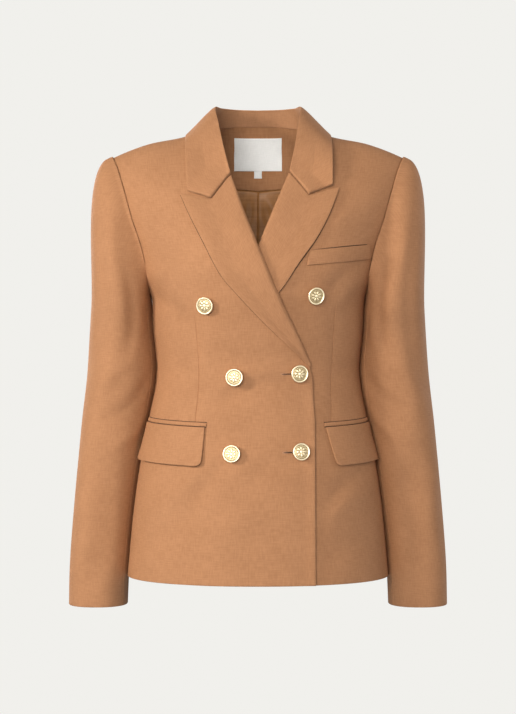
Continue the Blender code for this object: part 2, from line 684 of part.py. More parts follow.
def make_collar():
    surface = shoulder_surface()
    stations = np.linspace(-6, 6, 25)
    fold, edge, seam = collar_lines(stations)
    out = unit((edge - fold) * np.array((1, 1, 0)))
    across = np.array(FALL_ROWS)[:, None, None]
    start = fold - out * CREST_COVER
    run = edge - fold
    fall = (
        start * (1 + 2 * across) * (1 - across) ** 2
        + out * CREST_PULL * across * (1 - across) ** 2
        + edge * across**2 * (3 - 2 * across)
        - run * across**2 * (1 - across)
    )
    for end, own_side in ((0, -1), (-1, 1)):
        gorge_end, notch, tip = (np.array(lean(p, own_side)) for p in (GORGE_END, NOTCH, COLLAR_TIP))
        knots = (0, FALL_ROWS[NOTCH_ROW], 1)
        turns = [(gorge_end[k], notch[k], tip[k]) for k in (0, 1)]
        line = np.stack([np.interp(FALL_ROWS, knots, turn) for turn in turns], -1)
        straight = fall[:, end, (0, 2)]
        line = body_point(line[:, 0], line[:, 1] + 3 * SEAM_GAP, -1, COLLAR_CLEAR)[:, (0, 2)]
        notch_pull = line - straight
        for step in range(CHEST_PULL):
            station = end + step if end == 0 else end - step
            fade = (1 - step / CHEST_PULL) ** 1.5
            fall[:, station, 0] += fade * notch_pull[:, 0]
            fall[:, station, 2] += fade * notch_pull[:, 1]
    laid, share, chest_normals = lay_front(fall, np.abs(stations), COLLAR_CLEAR)
    fall = stand_off(fall, surface, COLLAR_CLEAR) * (1 - share) + laid * share
    normals = sheet_normals(fall)
    if normals[3, 12, 1] < 0:
        normals = -normals
    chest_share = share * ramp(4.0, 5.5, np.abs(stations))[None, :, None]
    normals = unit(normals * (1 - chest_share) + chest_normals * chest_share)
    cloth("collar_fall", fall, fall - normals * COLLAR_WALL)

    inside = slice(2, 23)
    crest = fall[0, inside] - normals[0, inside] * (COLLAR_WALL + 6 * SEAM_GAP)
    foot = seam[inside]
    lift = unit(crest - foot)
    foot = foot + lift * 2 * SEAM_GAP
    rows = np.linspace(0, 1, 4)[:, None, None]
    stand = foot + (crest - foot) * rows
    away = sheet_normals(stand)
    if away[1, 10, 1] < 0:
        away = -away
    cloth("collar_stand", stand, stand + away * SHELL_WALL)


# ---------------------------------------------------------------- inside the back
FACING_DEPTH = table(
    "x     height",
    (0.000, -0.0655),
    (0.045, -0.0615),
    (0.090, -0.0540),
    (0.130, -0.0440),
)
FACING_HALF_WIDTH = 0.115
LABEL_SIZE = (0.070, 0.045)
LABEL_TOP = 0.008
TAB_SIZE = (0.0115, 0.011)


def make_inside():
    lift = -(SHELL_WALL + LINING_GAP)
    x = np.linspace(-FACING_HALF_WIDTH, FACING_HALF_WIDTH, 19)[None, :]
    low = read(FACING_DEPTH, "x", "height", np.abs(x))
    neck = np.interp(np.abs(x), NECKLINE["x"][:4], NECKLINE["height"][:4])
    high = np.where(np.abs(x) < NECKLINE["x"][3], neck, shoulder_height(x)) - 0.0015
    rows = np.sin(np.linspace(0, math.pi / 2, 6))[:, None]
    height = low + (high - low) * rows
    on_body("back_neck_facing", x + 0 * height, height, 1, lift, LINING_WALL)

    levels = np.concatenate((np.linspace(0.06, 2, 9), np.linspace(2.15, 2.7, 4)))
    top = read(FACING_DEPTH, "x", "height", np.zeros(1))[0] - SEAM_GAP
    edge_x = np.full_like(levels, 0.00015)
    edge_z = np.interp(levels, (0, 1, 2, 2.7), (HEM_HEIGHT, WAIST_HEIGHT, -0.205, top))
    side_x, side_z = side_points(levels, "back_x")
    side_x = side_x * 0.975
    for name, own_side in (("lining_back_right", -1), ("lining_back_left", 1)):
        x, height = half_grid((edge_x, edge_z), (side_x, side_z), levels, 7)
        limit = read(FACING_DEPTH, "x", "height", np.abs(x)) - SEAM_GAP
        near_top = ramp(2.0, 2.7, levels)[:, None]
        height = np.where(height > limit, limit, height) * near_top + height * (1 - near_top)
        height = np.minimum(height, limit)
        on_body(name, x * own_side, height, 1, lift, LINING_WALL, LINING_COLOUR)

    inner = lift - LINING_WALL - LAYER_GAP
    half, drop = LABEL_SIZE[0] / 2, LABEL_SIZE[1]
    x, height = np.meshgrid(np.linspace(-half, half, 7), np.linspace(LABEL_TOP, LABEL_TOP - drop, 5))
    on_body("label", x, height, 1, inner, LINING_WALL, LABEL_COLOUR)
    half, drop = TAB_SIZE[0] / 2, TAB_SIZE[1]
    top = LABEL_TOP - LABEL_SIZE[1] - 2 * SEAM_GAP
    x, height = np.meshgrid(np.linspace(-half, half, 2), np.linspace(top, top - drop, 3))
    on_body("size_tab", x, height, 1, inner, LINING_WALL, LABEL_COLOUR)


# ---------------------------------------------------------------- buttons
BUTTONS = table(
    "x       height  side",
    (-0.0670, -0.236, -1),
    (0.0746, -0.224, 1),
    (-0.0300, -0.332, -1),
    (0.0526, -0.327, -1),
    (-0.0340, -0.433, -1),
    (0.0555, -0.4305, -1),
)
# the button's half section from its crown to its shank: radius and height as shares
BUTTON_SECTION = ((0.30, 0.86), (0.62, 0.80), (0.78, 0.84), (0.90, 0.92), (1.00, 0.74), (0.96, 0.50),
                  (0.30, 0.42), (0.26, 0.0))


def button_mesh():
    """A turned button: a domed face inside a raised rim, and a short shank."""
    shape = bmesh.new()
    radius = BUTTON_DIAMETER / 2
    rings = []
    for share, rise in BUTTON_SECTION:
        ring = []
        for k in range(BUTTON_SIDES):
            turn = 2 * math.pi * k / BUTTON_SIDES
            ring.append(shape.verts.new((
                radius * share * math.cos(turn), radius * share * math.sin(turn), BUTTON_HEIGHT * rise)))
        rings.append(ring)
    crown = shape.verts.new((0, 0, BUTTON_HEIGHT * 0.90))
    for k in range(BUTTON_SIDES):
        after = (k + 1) % BUTTON_SIDES
        shape.faces.new((crown, rings[0][k], rings[0][after]))
        for upper, lower in zip(rings, rings[1:]):
            shape.faces.new((upper[k], lower[k], lower[after], upper[after]))
    shape.faces.new(list(reversed(rings[-1])))
    bmesh.ops.recalc_face_normals(shape, faces=shape.faces)
    bmesh.ops.triangulate(shape, faces=shape.faces)
    mesh_data = bpy.data.meshes.new("button")
    shape.to_mesh(mesh_data)
    shape.free()
    mesh_data.shade_smooth()
    mesh_data.set_sharp_from_angle(angle=math.radians(40))
    return mesh_data


def make_buttons():
    for number, (x, height, side) in enumerate(zip(BUTTONS["x"], BUTTONS["height"], BUTTONS["side"]), 1):
        base = float(top_front_lift(x, height)) if side < 0 else 0.0
        place = body_point(x, height, -1, base + 2 * LAYER_GAP)
        normal = body_normal(np.array(x), np.array(height), np.array(-1))
        turn = Vector((0, 0, 1)).rotation_difference(Vector(normal))
        button = add_object(f"button_{number}", button_mesh(), BUTTON_COLOUR, 0.28, 1.0)
        button.rotation_euler = turn.to_euler()
        button.location = Vector(place)


def main():
    for leftover in list(bpy.data.objects):
        bpy.data.objects.remove(leftover, do_unlink=True)
    make_fronts()
    make_back()
    make_sleeves()
    make_lapel("lapel_right", -1, LAPEL_EDGE_RIGHT, ROLL_BREAK_RIGHT)
    make_lapel("lapel_left", 1, LAPEL_EDGE_LEFT, ROLL_BREAK_LEFT)
    make_pockets()
    make_collar()
    make_inside()
    make_buttons()


main()
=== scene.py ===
# %% [markdown]
# # Double breasted blazer
#
# The jacket is in its worn form, hollow, with nobody in it. Every piece is a thin wall of cloth
# with two faces and a rounded edge, laid on one smooth body form, so that neighbours meet along
# their seams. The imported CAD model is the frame: each piece below takes the place of one CAD
# solid, on the same form, with the creases, rolls and seams that the plain solids leave out.

# %% The frame
import math

import bmesh
import bpy
import numpy as np
from mathutils import Matrix, Vector
from mathutils.bvhtree import BVHTree


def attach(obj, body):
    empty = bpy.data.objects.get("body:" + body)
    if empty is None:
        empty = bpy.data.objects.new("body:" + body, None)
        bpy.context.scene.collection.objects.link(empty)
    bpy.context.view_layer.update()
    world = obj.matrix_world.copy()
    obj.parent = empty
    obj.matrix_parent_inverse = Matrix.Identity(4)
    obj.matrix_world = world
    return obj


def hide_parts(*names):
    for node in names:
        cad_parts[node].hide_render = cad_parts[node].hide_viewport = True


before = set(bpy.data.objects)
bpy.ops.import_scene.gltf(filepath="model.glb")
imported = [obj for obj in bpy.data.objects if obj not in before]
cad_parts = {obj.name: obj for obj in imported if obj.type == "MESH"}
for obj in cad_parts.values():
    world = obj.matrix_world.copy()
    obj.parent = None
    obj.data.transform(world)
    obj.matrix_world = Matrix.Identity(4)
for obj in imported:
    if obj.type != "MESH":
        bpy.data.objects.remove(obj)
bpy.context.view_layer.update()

# %% [markdown]
# ## Sizes
#
# The real jacket is cut from one wool cloth with a woven twill face, about 1.6 mm thick where it
# is fused. The fronts, back and sleeves could be simulated, but a pressed jacket on a form hardly
# moves, so the pieces follow a form and the few creases are placed one by one in real sizes.

# %% Driving sizes, metres
SHELL_WALL = 0.0016
LINING_WALL = 0.0010
LAYER_GAP = 0.0006
LINING_GAP = 0.0018
LAPEL_ROOM = 0.0011
SEAM_LINE = 0.0003           # the lining starts this far below the facing

HEM_HEIGHT = -0.605
WAIST_HEIGHT = -0.325
UNDERARM_HEIGHT = -0.215
SHOULDER_TIP_HEIGHT = -0.030
CUFF_HEIGHT = -0.646
SEAM_PLANE_Y = 0.004
ROUND_START = -0.110
ROUND_POWER = 2.2
ROUND_BLEND = 0.75
ROUND_END = 0.98             # the form is read no nearer the shoulder's crest than this
NORMAL_END = 0.97            # and its normal no nearer than this
OVERLAP_EDGE_X = -0.058
OVERLAP_RAMP = 0.040


def table(columns, *rows):
    """A table with named columns, as arrays."""
    return {name: np.array([row[i] for row in rows], float) for i, name in enumerate(columns.split())}


BODY = table(
    "height  half_width front_depth back_depth power",
    (-0.605, 0.1800, 0.128, 0.120, 2.2),
    (-0.502, 0.1700, 0.121, 0.114, 2.2),
    (-0.441, 0.1610, 0.115, 0.109, 2.2),
    (-0.393, 0.1515, 0.109, 0.103, 2.2),
    (-0.325, 0.1400, 0.103, 0.094, 2.2),
    (-0.269, 0.1445, 0.112, 0.099, 2.25),
    (-0.215, 0.1495, 0.122, 0.105, 2.3),
    (-0.195, 0.1570, 0.124, 0.107, 2.3),
    (-0.156, 0.1700, 0.1165, 0.109, 2.35),
    (-0.120, 0.1850, 0.104, 0.108, 2.4),
    (-0.078, 0.2000, 0.086, 0.102, 2.4),
    (-0.030, 0.2120, 0.064, 0.096, 2.4),
    (0.060, 0.2200, 0.045, 0.082, 2.4),
)
SHOULDER = table(
    "x      height",
    (0.0000, 0.055),
    (0.0200, 0.051),
    (0.0400, 0.038),
    (0.0580, 0.022),
    (0.0740, 0.008),
    (0.0976, 0.000),
    (0.1540, -0.012),
    (0.2000, -0.030),
    (0.2200, -0.040),
)
ARMHOLE = table(
    "height  front_x back_x",
    (-0.215, 0.1495, 0.1495),
    (-0.205, 0.1500, 0.1502),
    (-0.195, 0.1505, 0.1515),
    (-0.156, 0.1580, 0.1610),
    (-0.120, 0.1700, 0.1730),
    (-0.078, 0.1820, 0.1860),
    (-0.045, 0.1930, 0.1945),
    (-0.030, 0.2000, 0.2000),
)
# the neckline, from the centre back (0) over the shoulder seam (3) to the gorge (6)
NECKLINE = table(
    "along x      height",
    (0, 0.0000, 0.0230),
    (1, 0.0320, 0.0222),
    (2, 0.0570, 0.0170),
    (3, 0.0740, 0.0080),
    (4, 0.0680, -0.0065),
    (5, 0.0570, -0.0310),
    (6, 0.0440, -0.0570),
)


def read(rows, key, value, at):
    """Read a smooth curve through one column of a table."""
    keys, values = rows[key], rows[value]
    steps = np.diff(keys)
    rises = np.diff(values) / steps
    slopes = np.empty_like(values)
    slopes[0], slopes[-1] = rises[0], rises[-1]
    slopes[1:-1] = (rises[:-1] * steps[1:] + rises[1:] * steps[:-1]) / (steps[:-1] + steps[1:])
    at = np.clip(at, keys[0], keys[-1])
    row = np.clip(np.searchsorted(keys, at) - 1, 0, len(steps) - 1)
    t = (at - keys[row]) / steps[row]
    return (
        values[row] * (1 + 2 * t) * (1 - t) ** 2
        + values[row + 1] * t * t * (3 - 2 * t)
        + steps[row] * (slopes[row] * t * (1 - t) ** 2 - slopes[row + 1] * t * t * (1 - t))
    )


def ramp(low, high, at):
    """0 below low, 1 above high, smooth between."""
    t = np.clip((at - low) / (high - low), 0, 1)
    return t * t * (3 - 2 * t)


def unit(vectors):
    return vectors / np.maximum(np.linalg.norm(vectors, axis=-1, keepdims=True), 1e-12)


def shoulder_height(x):
    return read(SHOULDER, "x", "height", np.abs(x))


def form_sizes(height, facing):
    """Half width, depth and power of the form's section at a height."""
    depth = np.where(
        np.asarray(facing) < 0,
        read(BODY, "height", "front_depth", height),
        read(BODY, "height", "back_depth", height),
    )
    return read(BODY, "height", "half_width", height), depth, read(BODY, "height", "power", height)


def body_y(x, height, facing):
    """Depth of the form at x and height; facing is -1 for the front and 1 for the back."""
    width, depth, power = form_sizes(height, facing)
    share = np.clip(np.abs(x) / width, 0, 1)
    rise = np.clip((height - ROUND_START) / (shoulder_height(x) - ROUND_START), 0, 1)
    roll = (1 - rise**ROUND_POWER) ** (1 / ROUND_POWER)
    return facing * depth * (1 - share**power) ** (1 / power) * roll


def form_value(x, y, height, facing):
    """One on the form, larger outside it."""
    width, depth, power = form_sizes(height, facing)
    rise = np.clip((height - ROUND_START) / (shoulder_height(x) - ROUND_START), 0, ROUND_END)
    roll = (1 - rise**ROUND_POWER) ** (1 / ROUND_POWER)
    return (np.abs(x) / width) ** power + (np.abs(y) / (depth * roll)) ** power


def body_normal(x, height, facing):
    """Outward normal of the form, the same for both panels along a seam."""
    crest = shoulder_height(x)
    rise = np.clip((height - ROUND_START) / (crest - ROUND_START), 0, 1)
    rolled = ROUND_START + np.minimum(rise, NORMAL_END) * (crest - ROUND_START)
    level = np.where(height > ROUND_START, rolled, height)
    y = body_y(x, level, facing)
    step = 1e-5
    slope = np.stack(
        (
            form_value(x + step, y, level, facing) - form_value(x - step, y, level, facing),
            form_value(x, y + step, level, facing) - form_value(x, y - step, level, facing),
            form_value(x, y, level + step, facing) - form_value(x, y, level - step, facing),
        ),
        -1,
    )
    fall = (shoulder_height(x + step) - shoulder_height(x - step)) / (2 * step)
    over = unit(np.stack((-fall, np.zeros_like(fall), np.ones_like(fall)), -1))
    blend = ramp(ROUND_BLEND, 1.0, rise)[..., None]
    return unit(unit(slope) * (1 - blend) + over * blend)


def body_point(x, height, facing, lift=0.0):
    """A point of the form, moved out along its normal by lift."""
    x, height, facing, lift = np.broadcast_arrays(x, height, facing, lift)
    base = np.stack((x, body_y(x, height, facing) + SEAM_PLANE_Y, height), -1)
    return base + body_normal(x, height, facing) * lift[..., None]


def top_front_lift(x, height):
    """How far the top front (the wearer's right) stands off the form where it laps over."""
    over = ramp(OVERLAP_EDGE_X - OVERLAP_RAMP, OVERLAP_EDGE_X - 0.002, x)
    below_crossing = 1 - ramp(-0.150, -0.105, height)
    on_lapel = ramp(-0.365, -0.325, height)
    stack = SHELL_WALL + LAYER_GAP + on_lapel * (SHELL_WALL + LAPEL_ROOM)
    return over * below_crossing * stack


print(f"the chest is {2 * BODY['half_width'][6] * 1000:.0f} mm wide at the underarm")

# %% [markdown]
# ## Cloth, metal and thread
#
# The shell is a matte camel wool. Its yarns vary a little, so the colour is broken up by slubs
# along the warp and the weft, over a fine twill that only shows close to. The lining is a shiny
# satin, the label a tight white weave, and the buttons are cast and gilt. Everything is made
# from noise and waves in each piece's own cloth coordinates, which are in metres.

# %% Materials
PLAIN_SHINE = 0.25
SATIN_SHINE = 0.40
TWILL_DEPTH = 0.00025        # metres


def blank_material(name):
    finish = bpy.data.materials.new(name)
    finish.use_nodes = True
    return finish, finish.node_tree.nodes, finish.node_tree.links, finish.node_tree.nodes["Principled BSDF"]


def scaled_cloth(nodes, links, scale, turn=0.0):
    """The cloth's own coordinates in metres, times a scale each way, turned by an angle."""
    place = nodes.new("ShaderNodeUVMap")
    place.uv_map = "cloth"
    move = nodes.new("ShaderNodeMapping")
    move.inputs["Scale"].default_value = (*scale, 1.0)
    move.inputs["Rotation"].default_value = (0.0, 0.0, turn)
    links.new(place.outputs["UV"], move.inputs["Vector"])
    return move.outputs["Vector"]


def noise(nodes, links, vector, detail=2.0):
    cloud = nodes.new("ShaderNodeTexNoise")
    cloud.inputs["Scale"].default_value = 1.0
    cloud.inputs["Detail"].default_value = detail
    links.new(vector, cloud.inputs["Vector"])
    return cloud.outputs["Fac"]


def added(nodes, links, first, second, share):
    """first + share * (second - 0.5)."""
    scale = nodes.new("ShaderNodeMath")
    scale.operation = "MULTIPLY_ADD"
    links.new(second, scale.inputs[0])
    scale.inputs[1].default_value = share
    links.new(first, scale.inputs[2])
    shift = nodes.new("ShaderNodeMath")
    shift.operation = "SUBTRACT"
    links.new(scale.outputs[0], shift.inputs[0])
    shift.inputs[1].default_value = share / 2
    return shift.outputs[0]


def woven_material(name, dark, light, slub, pitch, roughness, sheen, bump, shine=PLAIN_SHINE):
    """A woven cloth: two colours mixed by slubs, and a fine twill line that is raised.

    slub and pitch are how many slubs and twill lines run in a metre, about.
    """
    finish, nodes, links, shader = blank_material(name)
    warp = noise(nodes, links, scaled_cloth(nodes, links, (slub, slub / 9)))
    weft = noise(nodes, links, scaled_cloth(nodes, links, (slub / 9, slub)))
    cloud = noise(nodes, links, scaled_cloth(nodes, links, (slub / 30, slub / 30)))
    mixed = added(nodes, links, warp, weft, 1.0)
    mixed = added(nodes, links, mixed, cloud, 0.5)
    colour = nodes.new("ShaderNodeValToRGB")
    colour.color_ramp.elements[0].position = 0.25
    colour.color_ramp.elements[0].color = (*dark, 1.0)
    colour.color_ramp.elements[1].position = 0.75
    colour.color_ramp.elements[1].color = (*light, 1.0)
    links.new(mixed, colour.inputs["Fac"])
    links.new(colour.outputs["Color"], shader.inputs["Base Color"])
    twill = nodes.new("ShaderNodeTexWave")
    twill.wave_type = "BANDS"
    twill.bands_direction = "DIAGONAL"
    twill.inputs["Scale"].default_value = 1.0
    twill.inputs["Distortion"].default_value = 1.2
    twill.inputs["Detail"].default_value = 1.0
    links.new(scaled_cloth(nodes, links, (pitch, pitch)), twill.inputs["Vector"])
    raised = added(nodes, links, twill.outputs["Fac"], warp, 0.8)
    relief = nodes.new("ShaderNodeBump")
    relief.inputs["Strength"].default_value = bump
    relief.inputs["Distance"].default_value = TWILL_DEPTH
    links.new(raised, relief.inputs["Height"])
    links.new(relief.outputs["Normal"], shader.inputs["Normal"])
    shader.inputs["Roughness"].default_value = roughness
    shader.inputs["Sheen Weight"].default_value = sheen
    shader.inputs["Sheen Roughness"].default_value = 0.45
    shader.inputs["Sheen Tint"].default_value = (*light, 1.0)
    shader.inputs["Specular IOR Level"].default_value = shine
    return finish


WOOL = woven_material(
    "camel_wool", (0.320, 0.145, 0.061), (0.388, 0.181, 0.080),
    slub=800.0, pitch=900.0, roughness=0.82, sheen=0.18, bump=0.30,
)
# Painted shade: a darker copy of the camel wool for the collar stand, which lies in shade inside the neck.
STAND_SHADE_WOOL = woven_material(
    "camel_wool_painted_shade", (0.255, 0.118, 0.052), (0.305, 0.144, 0.066),
    slub=800.0, pitch=900.0, roughness=0.85, sheen=0.18, bump=0.30,
)
SATIN = woven_material(
    "brown_satin", (0.290, 0.125, 0.036), (0.400, 0.177, 0.056),
    slub=300.0, pitch=2200.0, roughness=0.50, sheen=0.12, bump=0.10, shine=SATIN_SHINE,
)
LABEL_WEAVE = woven_material(
    "white_label_weave", (0.80, 0.80, 0.77), (0.86, 0.86, 0.83),
    slub=900.0, pitch=2600.0, roughness=0.60, sheen=0.05, bump=0.30,
)


def thread_material(name, colour):
    finish, _, _, shader = blank_material(name)
    shader.inputs["Base Color"].default_value = (*colour, 1.0)
    shader.inputs["Roughness"].default_value = 0.7
    shader.inputs["Sheen Weight"].default_value = 0.3
    return finish


def gilt_material():
    """Pale gilt metal, darkened with painted shade where the attribute "hollow" is 1, in the relief's
    hollows.
    """
    finish, nodes, links, shader = blank_material("pale_gilt_metal")
    # Painted shade: the colour runs from pale gilt to dark brown in the hollows.
    deep = nodes.new("ShaderNodeAttribute")
    deep.attribute_name = "hollow"
    colour = nodes.new("ShaderNodeValToRGB")
    colour.color_ramp.elements[0].color = (0.80, 0.69, 0.48, 1.0)
    colour.color_ramp.elements[1].color = (0.24, 0.17, 0.075, 1.0)
    links.new(deep.outputs["Fac"], colour.inputs["Fac"])
    links.new(colour.outputs["Color"], shader.inputs["Base Color"])
    shader.inputs["Metallic"].default_value = 1.0
    shader.inputs["Roughness"].default_value = 0.42
    return finish


THREAD = thread_material("camel_thread", (0.36, 0.165, 0.070))
LABEL_THREAD = thread_material("white_thread", (0.80, 0.80, 0.77))
GILT = gilt_material()
print(f"{len(bpy.data.materials)} materials")

# %% [markdown]
# ## A wall of cloth
#
# Each cloth piece is a closed wall: a grid of points on the outer face, the same grid on the
# inner face, and both running together along a rounded edge. Two pieces that meet along a seam
# then leave the fine groove that a pressed seam has. The grid also gives the cloth coordinates.

# %% Cloth walls
EDGE_STEPS = (0.0, 0.10, 0.40, 1.0)      # rows near an edge, as shares of the rounding


def shares(count, length, lip):
    """Shares of a length from 0 to 1, close together at both ends, where the edge is rounded."""
    near = np.array(EDGE_STEPS) * lip / length
    even = np.linspace(0, 1, count + 1)
    even = even[(even > 1.7 * near[-1]) & (even < 1 - 1.7 * near[-1])]
    return np.concatenate((near, even, (1 - near)[::-1]))


def fullness(at, length, lip):
    """Share of the wall's full thickness: none at the two ends, full from the lip on."""
    depth = np.clip(np.minimum(at, 1 - at) * length / lip, 0, 1)
    return np.sqrt(np.clip(1 - (1 - depth) ** 2, 0, 1))


def grid_normals(points):
    return unit(np.cross(np.gradient(points, axis=0), np.gradient(points, axis=1)))


def cloth_coordinates(points):
    """Distances across and down a grid of points, in metres."""
    across = np.linalg.norm(np.diff(points, axis=1), axis=-1)
    down = np.linalg.norm(np.diff(points, axis=0), axis=-1)
    u = np.concatenate((np.zeros((len(points), 1)), np.cumsum(across, axis=1)), axis=1)
    v = np.concatenate((np.zeros((1, points.shape[1])), np.cumsum(down, axis=0)), axis=0)
    return np.stack((u - u.mean(axis=1, keepdims=True), v), -1)


def wall_mesh(name, outer, normals, wall, full, coordinates):
    """A closed wall below a grid of points; full is 0 on its border, where both faces meet."""
    rows, columns = outer.shape[:2]
    middle = outer - normals * wall / 2
    reach = normals * (wall / 2 * full)[..., None]
    faces_up, faces_down = middle + reach, middle - reach
    index_up = np.arange(rows * columns).reshape(rows, columns)
    inside = np.zeros((rows, columns), bool)
    inside[1:-1, 1:-1] = True
    index_down = index_up.copy()
    index_down[inside] = rows * columns + np.arange(inside.sum())
    points = np.concatenate((faces_up.reshape(-1, 3), faces_down[inside]))
    quads = []
    for index, turn in ((index_up, 1), (index_down, -1)):
        quad = np.stack((index[:-1, :-1], index[:-1, 1:], index[1:, 1:], index[1:, :-1]), -1).reshape(-1, 4)
        quads.append(quad[:, ::turn])
    middle_row, middle_column = rows // 2, columns // 2
    facing = np.cross(
        outer[middle_row, middle_column + 1] - outer[middle_row, middle_column],
        outer[middle_row + 1, middle_column] - outer[middle_row, middle_column],
    )
    quads = np.concatenate(quads)
    if np.dot(facing, normals[middle_row, middle_column]) < 0:
        quads = quads[:, ::-1]
    mesh = bpy.data.meshes.new(name)
    mesh.from_pydata(points.tolist(), [], quads.tolist())
    layer = mesh.uv_layers.new(name="cloth")
    flat = coordinates.reshape(-1, 2)
    flat = np.concatenate((flat, coordinates[inside]))
    corner = np.empty(len(mesh.loops), int)
    mesh.loops.foreach_get("vertex_index", corner)
    layer.data.foreach_set("uv", flat[corner].ravel())
    mesh.shade_smooth()
    mesh.validate()
    return mesh


def surface_area(mesh):
    return sum(face.area for face in mesh.polygons)


made = []


def add_piece(name, mesh, material):
    """Put a mesh in the scene as a piece that takes the place of the CAD node of its name."""
    mesh.materials.append(material)
    piece = bpy.data.objects.new(name + "_look", mesh)
    bpy.context.scene.collection.objects.link(piece)
    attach(piece, "root")
    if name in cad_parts:
        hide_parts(name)
    made.append(piece)
    return piece


def cloth_piece(name, outer, normals, wall, full, cut, material=None,
                coordinates=None):
    """A cloth piece; cut is its pattern piece's width and length, and the share of them that is cloth."""
    if coordinates is None:
        coordinates = cloth_coordinates(outer)
    mesh = wall_mesh(name, outer, normals, wall, full, coordinates)
    piece = add_piece(name, mesh, material or WOOL)
    width, length, share = cut
    flat_area = width * length * share
    made_area = surface_area(mesh) / 2
    areas = f"{made_area * 1e4:.1f} cm2 made, {flat_area * 1e4:.1f} cm2 cut"
    print(f"{name}: {len(mesh.polygons)} faces, {areas}")
    return piece

# %% [markdown]
# ## Creases
#
# A pressed jacket has few creases: soft diagonal drags from the bust to the armhole, others
# below the pockets, and long shallow folds down the sleeves. Each one is a soft ridge (positive)
# or trough (negative) between two points, with its own width and height, so that it can be
# placed like a real one. The flaps and buttons that lie on a panel follow the same creases.

# %% Creases on the body and the sleeves
# x and height of both ends, then width and height of the fold, all in metres
FRONT_FOLDS = (
    (-0.150, -0.190, -0.092, -0.236, 0.016, 0.0016),
    (-0.146, -0.222, -0.098, -0.262, 0.010, -0.0012),
    (-0.134, -0.150, -0.120, -0.215, 0.014, -0.0010),
    (-0.124, -0.505, -0.058, -0.458, 0.012, 0.0016),
    (-0.082, -0.498, -0.036, -0.442, 0.011, -0.0017),
    (-0.140, -0.560, -0.080, -0.512, 0.016, -0.0012),
    (-0.060, -0.560, 0.010, -0.500, 0.022, 0.0012),
    (-0.130, -0.330, -0.092, -0.322, 0.010, -0.0009),
    (-0.060, -0.372, 0.045, -0.338, 0.012, -0.0010),
    (-0.055, -0.352, 0.030, -0.322, 0.011, 0.0009),
    (-0.020, -0.470, 0.062, -0.440, 0.014, -0.0009),
    (0.094, -0.224, 0.142, -0.178, 0.009, -0.0014),
    (0.104, -0.238, 0.146, -0.202, 0.010, 0.0013),
    (0.098, -0.138, 0.124, -0.112, 0.010, 0.0009),
    (0.095, -0.498, 0.148, -0.456, 0.011, -0.0016),
    (0.092, -0.520, 0.150, -0.486, 0.014, 0.0014),
    (0.100, -0.332, 0.135, -0.322, 0.009, -0.0010),
    (0.085, -0.585, 0.150, -0.545, 0.018, -0.0010),
)
BACK_FOLDS = (
    (-0.040, -0.320, -0.120, -0.300, 0.012, -0.0016),
    (-0.030, -0.345, -0.110, -0.338, 0.012, 0.0014),
    (0.030, -0.312, 0.115, -0.296, 0.011, -0.0014),
    (0.045, -0.348, 0.118, -0.352, 0.013, 0.0015),
    (-0.150, -0.200, -0.100, -0.110, 0.012, 0.0016),
    (-0.140, -0.215, -0.085, -0.150, 0.010, -0.0014),
    (0.150, -0.190, 0.105, -0.105, 0.012, 0.0015),
    (0.138, -0.220, 0.090, -0.145, 0.010, -0.0015),
    (-0.085, -0.600, -0.070, -0.430, 0.020, 0.0018),
    (0.080, -0.600, 0.066, -0.440, 0.022, 0.0018),
    (0.025, -0.600, 0.020, -0.470, 0.016, -0.0012),
    (-0.030, -0.600, -0.024, -0.480, 0.015, -0.0012),
)
# turn round the sleeve in degrees (0 outside, 90 front) and height, both ends, then width, height
SLEEVE_FOLDS = {
    "right": (
        (66, -0.130, 62, -0.360, 0.011, -0.0016),
        (38, -0.090, 30, -0.330, 0.014, 0.0014),
        (96, -0.180, 92, -0.330, 0.011, 0.0016),
        (128, -0.235, 60, -0.350, 0.010, -0.0016),
        (140, -0.330, 78, -0.392, 0.010, 0.0016),
        (150, -0.380, 86, -0.432, 0.010, -0.0014),
        (70, -0.440, 82, -0.620, 0.016, 0.0014),
        (40, -0.470, 46, -0.620, 0.014, -0.0012),
        (-40, -0.150, -60, -0.420, 0.014, -0.0020),
        (-90, -0.340, -30, -0.400, 0.012, 0.0016),
        (-100, -0.300, -40, -0.350, 0.012, -0.0014),
    ),
    "left": (
        (72, -0.140, 66, -0.345, 0.012, -0.0018),
        (44, -0.100, 36, -0.360, 0.015, 0.0016),
        (104, -0.170, 98, -0.320, 0.010, 0.0015),
        (136, -0.250, 70, -0.338, 0.010, -0.0018),
        (146, -0.320, 84, -0.376, 0.010, 0.0018),
        (150, -0.366, 90, -0.420, 0.009, -0.0016),
        (74, -0.430, 84, -0.610, 0.016, 0.0015),
        (36, -0.450, 44, -0.600, 0.014, -0.0014),
        (-44, -0.160, -64, -0.430, 0.014, -0.0018),
        (-92, -0.350, -34, -0.410, 0.012, 0.0015),
        (-104, -0.306, -44, -0.356, 0.012, -0.0014),
    ),
}
FOLD_SHARE = 1.6             # makes all folds deeper or shallower together
FOLD_BOW = 0.10              # how far a fold bends, as a share of its length
HEM_CALM = 0.6               # the share of a fold that is pressed out at the hem
HEM_CALM_LOW = -0.595
HEM_CALM_HIGH = -0.560
SLEEVE_RADIUS = 0.045        # turns a turn round the sleeve into metres


def fold_lift(across, height, folds):
    """The height of all soft folds at points across and up a piece."""
    lift = np.zeros(np.broadcast(across, height).shape)
    for x0, z0, x1, z1, width, size in folds:
        along = np.array((x1 - x0, z1 - z0))
        length = np.hypot(*along)
        share = ((across - x0) * along[0] + (height - z0) * along[1]) / length**2
        side = ((across - x0) * along[1] - (height - z0) * along[0]) / length
        bow = side + FOLD_BOW * length * np.sin(np.clip(share, 0, 1) * math.pi)
        end = ramp(-0.25, 0.30, share) * (1 - ramp(0.65, 1.25, share))
        lift = lift + FOLD_SHARE * size * end * np.exp(-(bow / width) ** 2)
    return lift


def front_lift(x, height):
    """Everything that lies on a front follows this: its creases, not its laps."""
    above_hem = ramp(HEM_CALM_LOW, HEM_CALM_HIGH, height) * HEM_CALM + (1 - HEM_CALM)
    return fold_lift(x, height, FRONT_FOLDS) * above_hem


